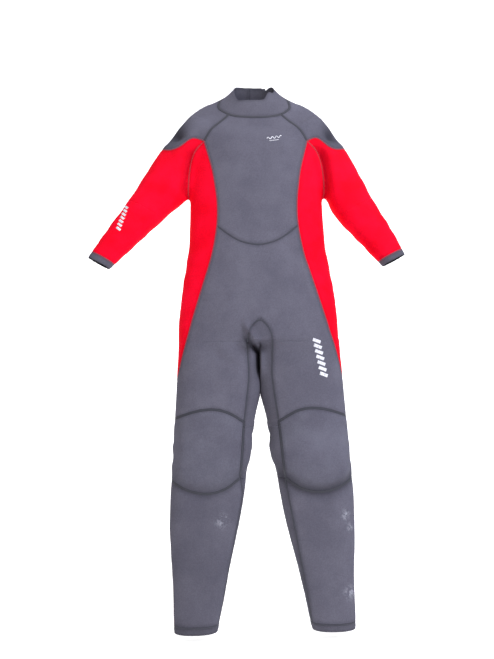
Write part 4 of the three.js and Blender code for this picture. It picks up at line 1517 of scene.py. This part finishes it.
class WETSUIT_OT_stage(bpy.types.Operator):
    """Sets up the paper sweep, the soft lights and the camera"""

    bl_idname = "wetsuit.stage"
    bl_label = "Stage"

    def execute(self, context):
        bm = bmesh.new()
        floor_z, wall_y, bend = -HANGER - 0.02, 2.6, 1.0
        edge = bmesh.ops.create_grid(bm, x_segments=1, y_segments=1, size=1.0)["verts"]
        for vert in edge:
            vert.co = (vert.co.x * 6, -4 if vert.co.y < 0 else wall_y - bend, floor_z)
        turning = [e for e in bm.edges if all(v.co.y > 0 for v in e.verts)]
        bmesh.ops.spin(
            bm, geom=turning, cent=(0, wall_y - bend, floor_z + bend), axis=(1, 0, 0), angle=math.pi / 2,
            steps=16, use_merge=False,
        )
        rim = [e for e in bm.edges if all(v.co.z > floor_z + bend * 0.98 for v in e.verts)]
        raised = bmesh.ops.extrude_edge_only(bm, edges=rim)["geom"]
        bmesh.ops.translate(bm, verts=[v for v in raised if isinstance(v, bmesh.types.BMVert)], vec=(0, 0, 4))
        sweep = link(bm, "paper_sweep", studio_paper("white_seamless_paper"))
        for face in sweep.data.polygons:
            face.use_smooth = True

        def lamp(name, place, aim, size, watts, colour):
            light = bpy.data.lights.new(name, "AREA")
            light.shape = "RECTANGLE"
            light.size, light.size_y = size
            light.energy = watts
            light.color = linear(colour)[:3]
            holder = bpy.data.objects.new(name, light)
            holder.location = place
            holder.rotation_euler = (Vector(aim) - Vector(place)).to_track_quat("-Z", "Y").to_euler()
            context.scene.collection.objects.link(holder)

        lamp("key_softbox", (1.8, -1.9, 1.1), (0, 0, -0.45), (1.3, 1.3), 88, "E9EFFF")
        lamp("fill_softbox", (-1.9, -2.0, 0.2), (0, 0, -0.6), (1.4, 2.0), 8, "FFF3E6")
        lamp("top_softbox", (0.0, -0.7, 1.7), (0, 0, -0.2), (1.6, 1.0), 22, "FFFFFF")

        world = bpy.data.worlds.new("soft_room")
        world.use_nodes = True
        world.node_tree.nodes["Background"].inputs["Color"].default_value = (1.0, 1.0, 1.0, 1.0)
        world.node_tree.nodes["Background"].inputs["Strength"].default_value = 0.22
        context.scene.world = world
        context.scene.view_settings.view_transform = "Standard"

        tilt, yaw, roll = (math.radians(angle) for angle in (10.05, 1.25, -0.95))
        ahead = Vector((math.sin(yaw) * math.cos(tilt), math.cos(yaw) * math.cos(tilt), math.sin(tilt)))
        right = ahead.cross((0, 0, 1)).normalized()
        up = right.cross(ahead)
        leaned = right * math.cos(roll) + up * math.sin(roll)
        camera = bpy.data.objects.new("camera", bpy.data.cameras.new("camera"))
        camera.data.lens = 26
        camera.data.sensor_width = 36
        turned = Matrix((leaned, leaned.cross(ahead), -ahead)).transposed().to_4x4()
        camera.matrix_world = Matrix.Translation((-0.0589, -1.2486, 0.5094 - HANGER)) @ turned
        context.scene.collection.objects.link(camera)
        context.scene.camera = camera
        return {"FINISHED"}


STEPS = (
    WETSUIT_OT_skin,
    WETSUIT_OT_seams,
    WETSUIT_OT_trunk,
    WETSUIT_OT_collar,
    WETSUIT_OT_sleeves,
    WETSUIT_OT_legs,
    WETSUIT_OT_zip,
    WETSUIT_OT_prints,
    WETSUIT_OT_stage,
)


class WETSUIT_PT_panel(bpy.types.Panel):
    """Lists the suit's sizes and its building steps"""

    bl_label = "Wetsuit"
    bl_idname = "WETSUIT_PT_panel"
    bl_space_type = "VIEW_3D"
    bl_region_type = "UI"
    bl_category = "Wetsuit"

    def draw(self, context):
        for name in WetsuitSettings.__annotations__:
            self.layout.prop(context.scene.wetsuit, name)
        for step in STEPS:
            self.layout.operator(step.bl_idname)


def register():
    for kind in (WetsuitSettings, *STEPS, WETSUIT_PT_panel):
        bpy.utils.register_class(kind)
    bpy.types.Scene.wetsuit = bpy.props.PointerProperty(type=WetsuitSettings)


def unregister():
    del bpy.types.Scene.wetsuit
    for kind in (WETSUIT_PT_panel, *reversed(STEPS), WetsuitSettings):
        bpy.utils.unregister_class(kind)


def main():
    register()
    for step in STEPS:
        group, name = step.bl_idname.split(".")
        getattr(getattr(bpy.ops, group), name)()


if __name__ == "__main__":
    main()
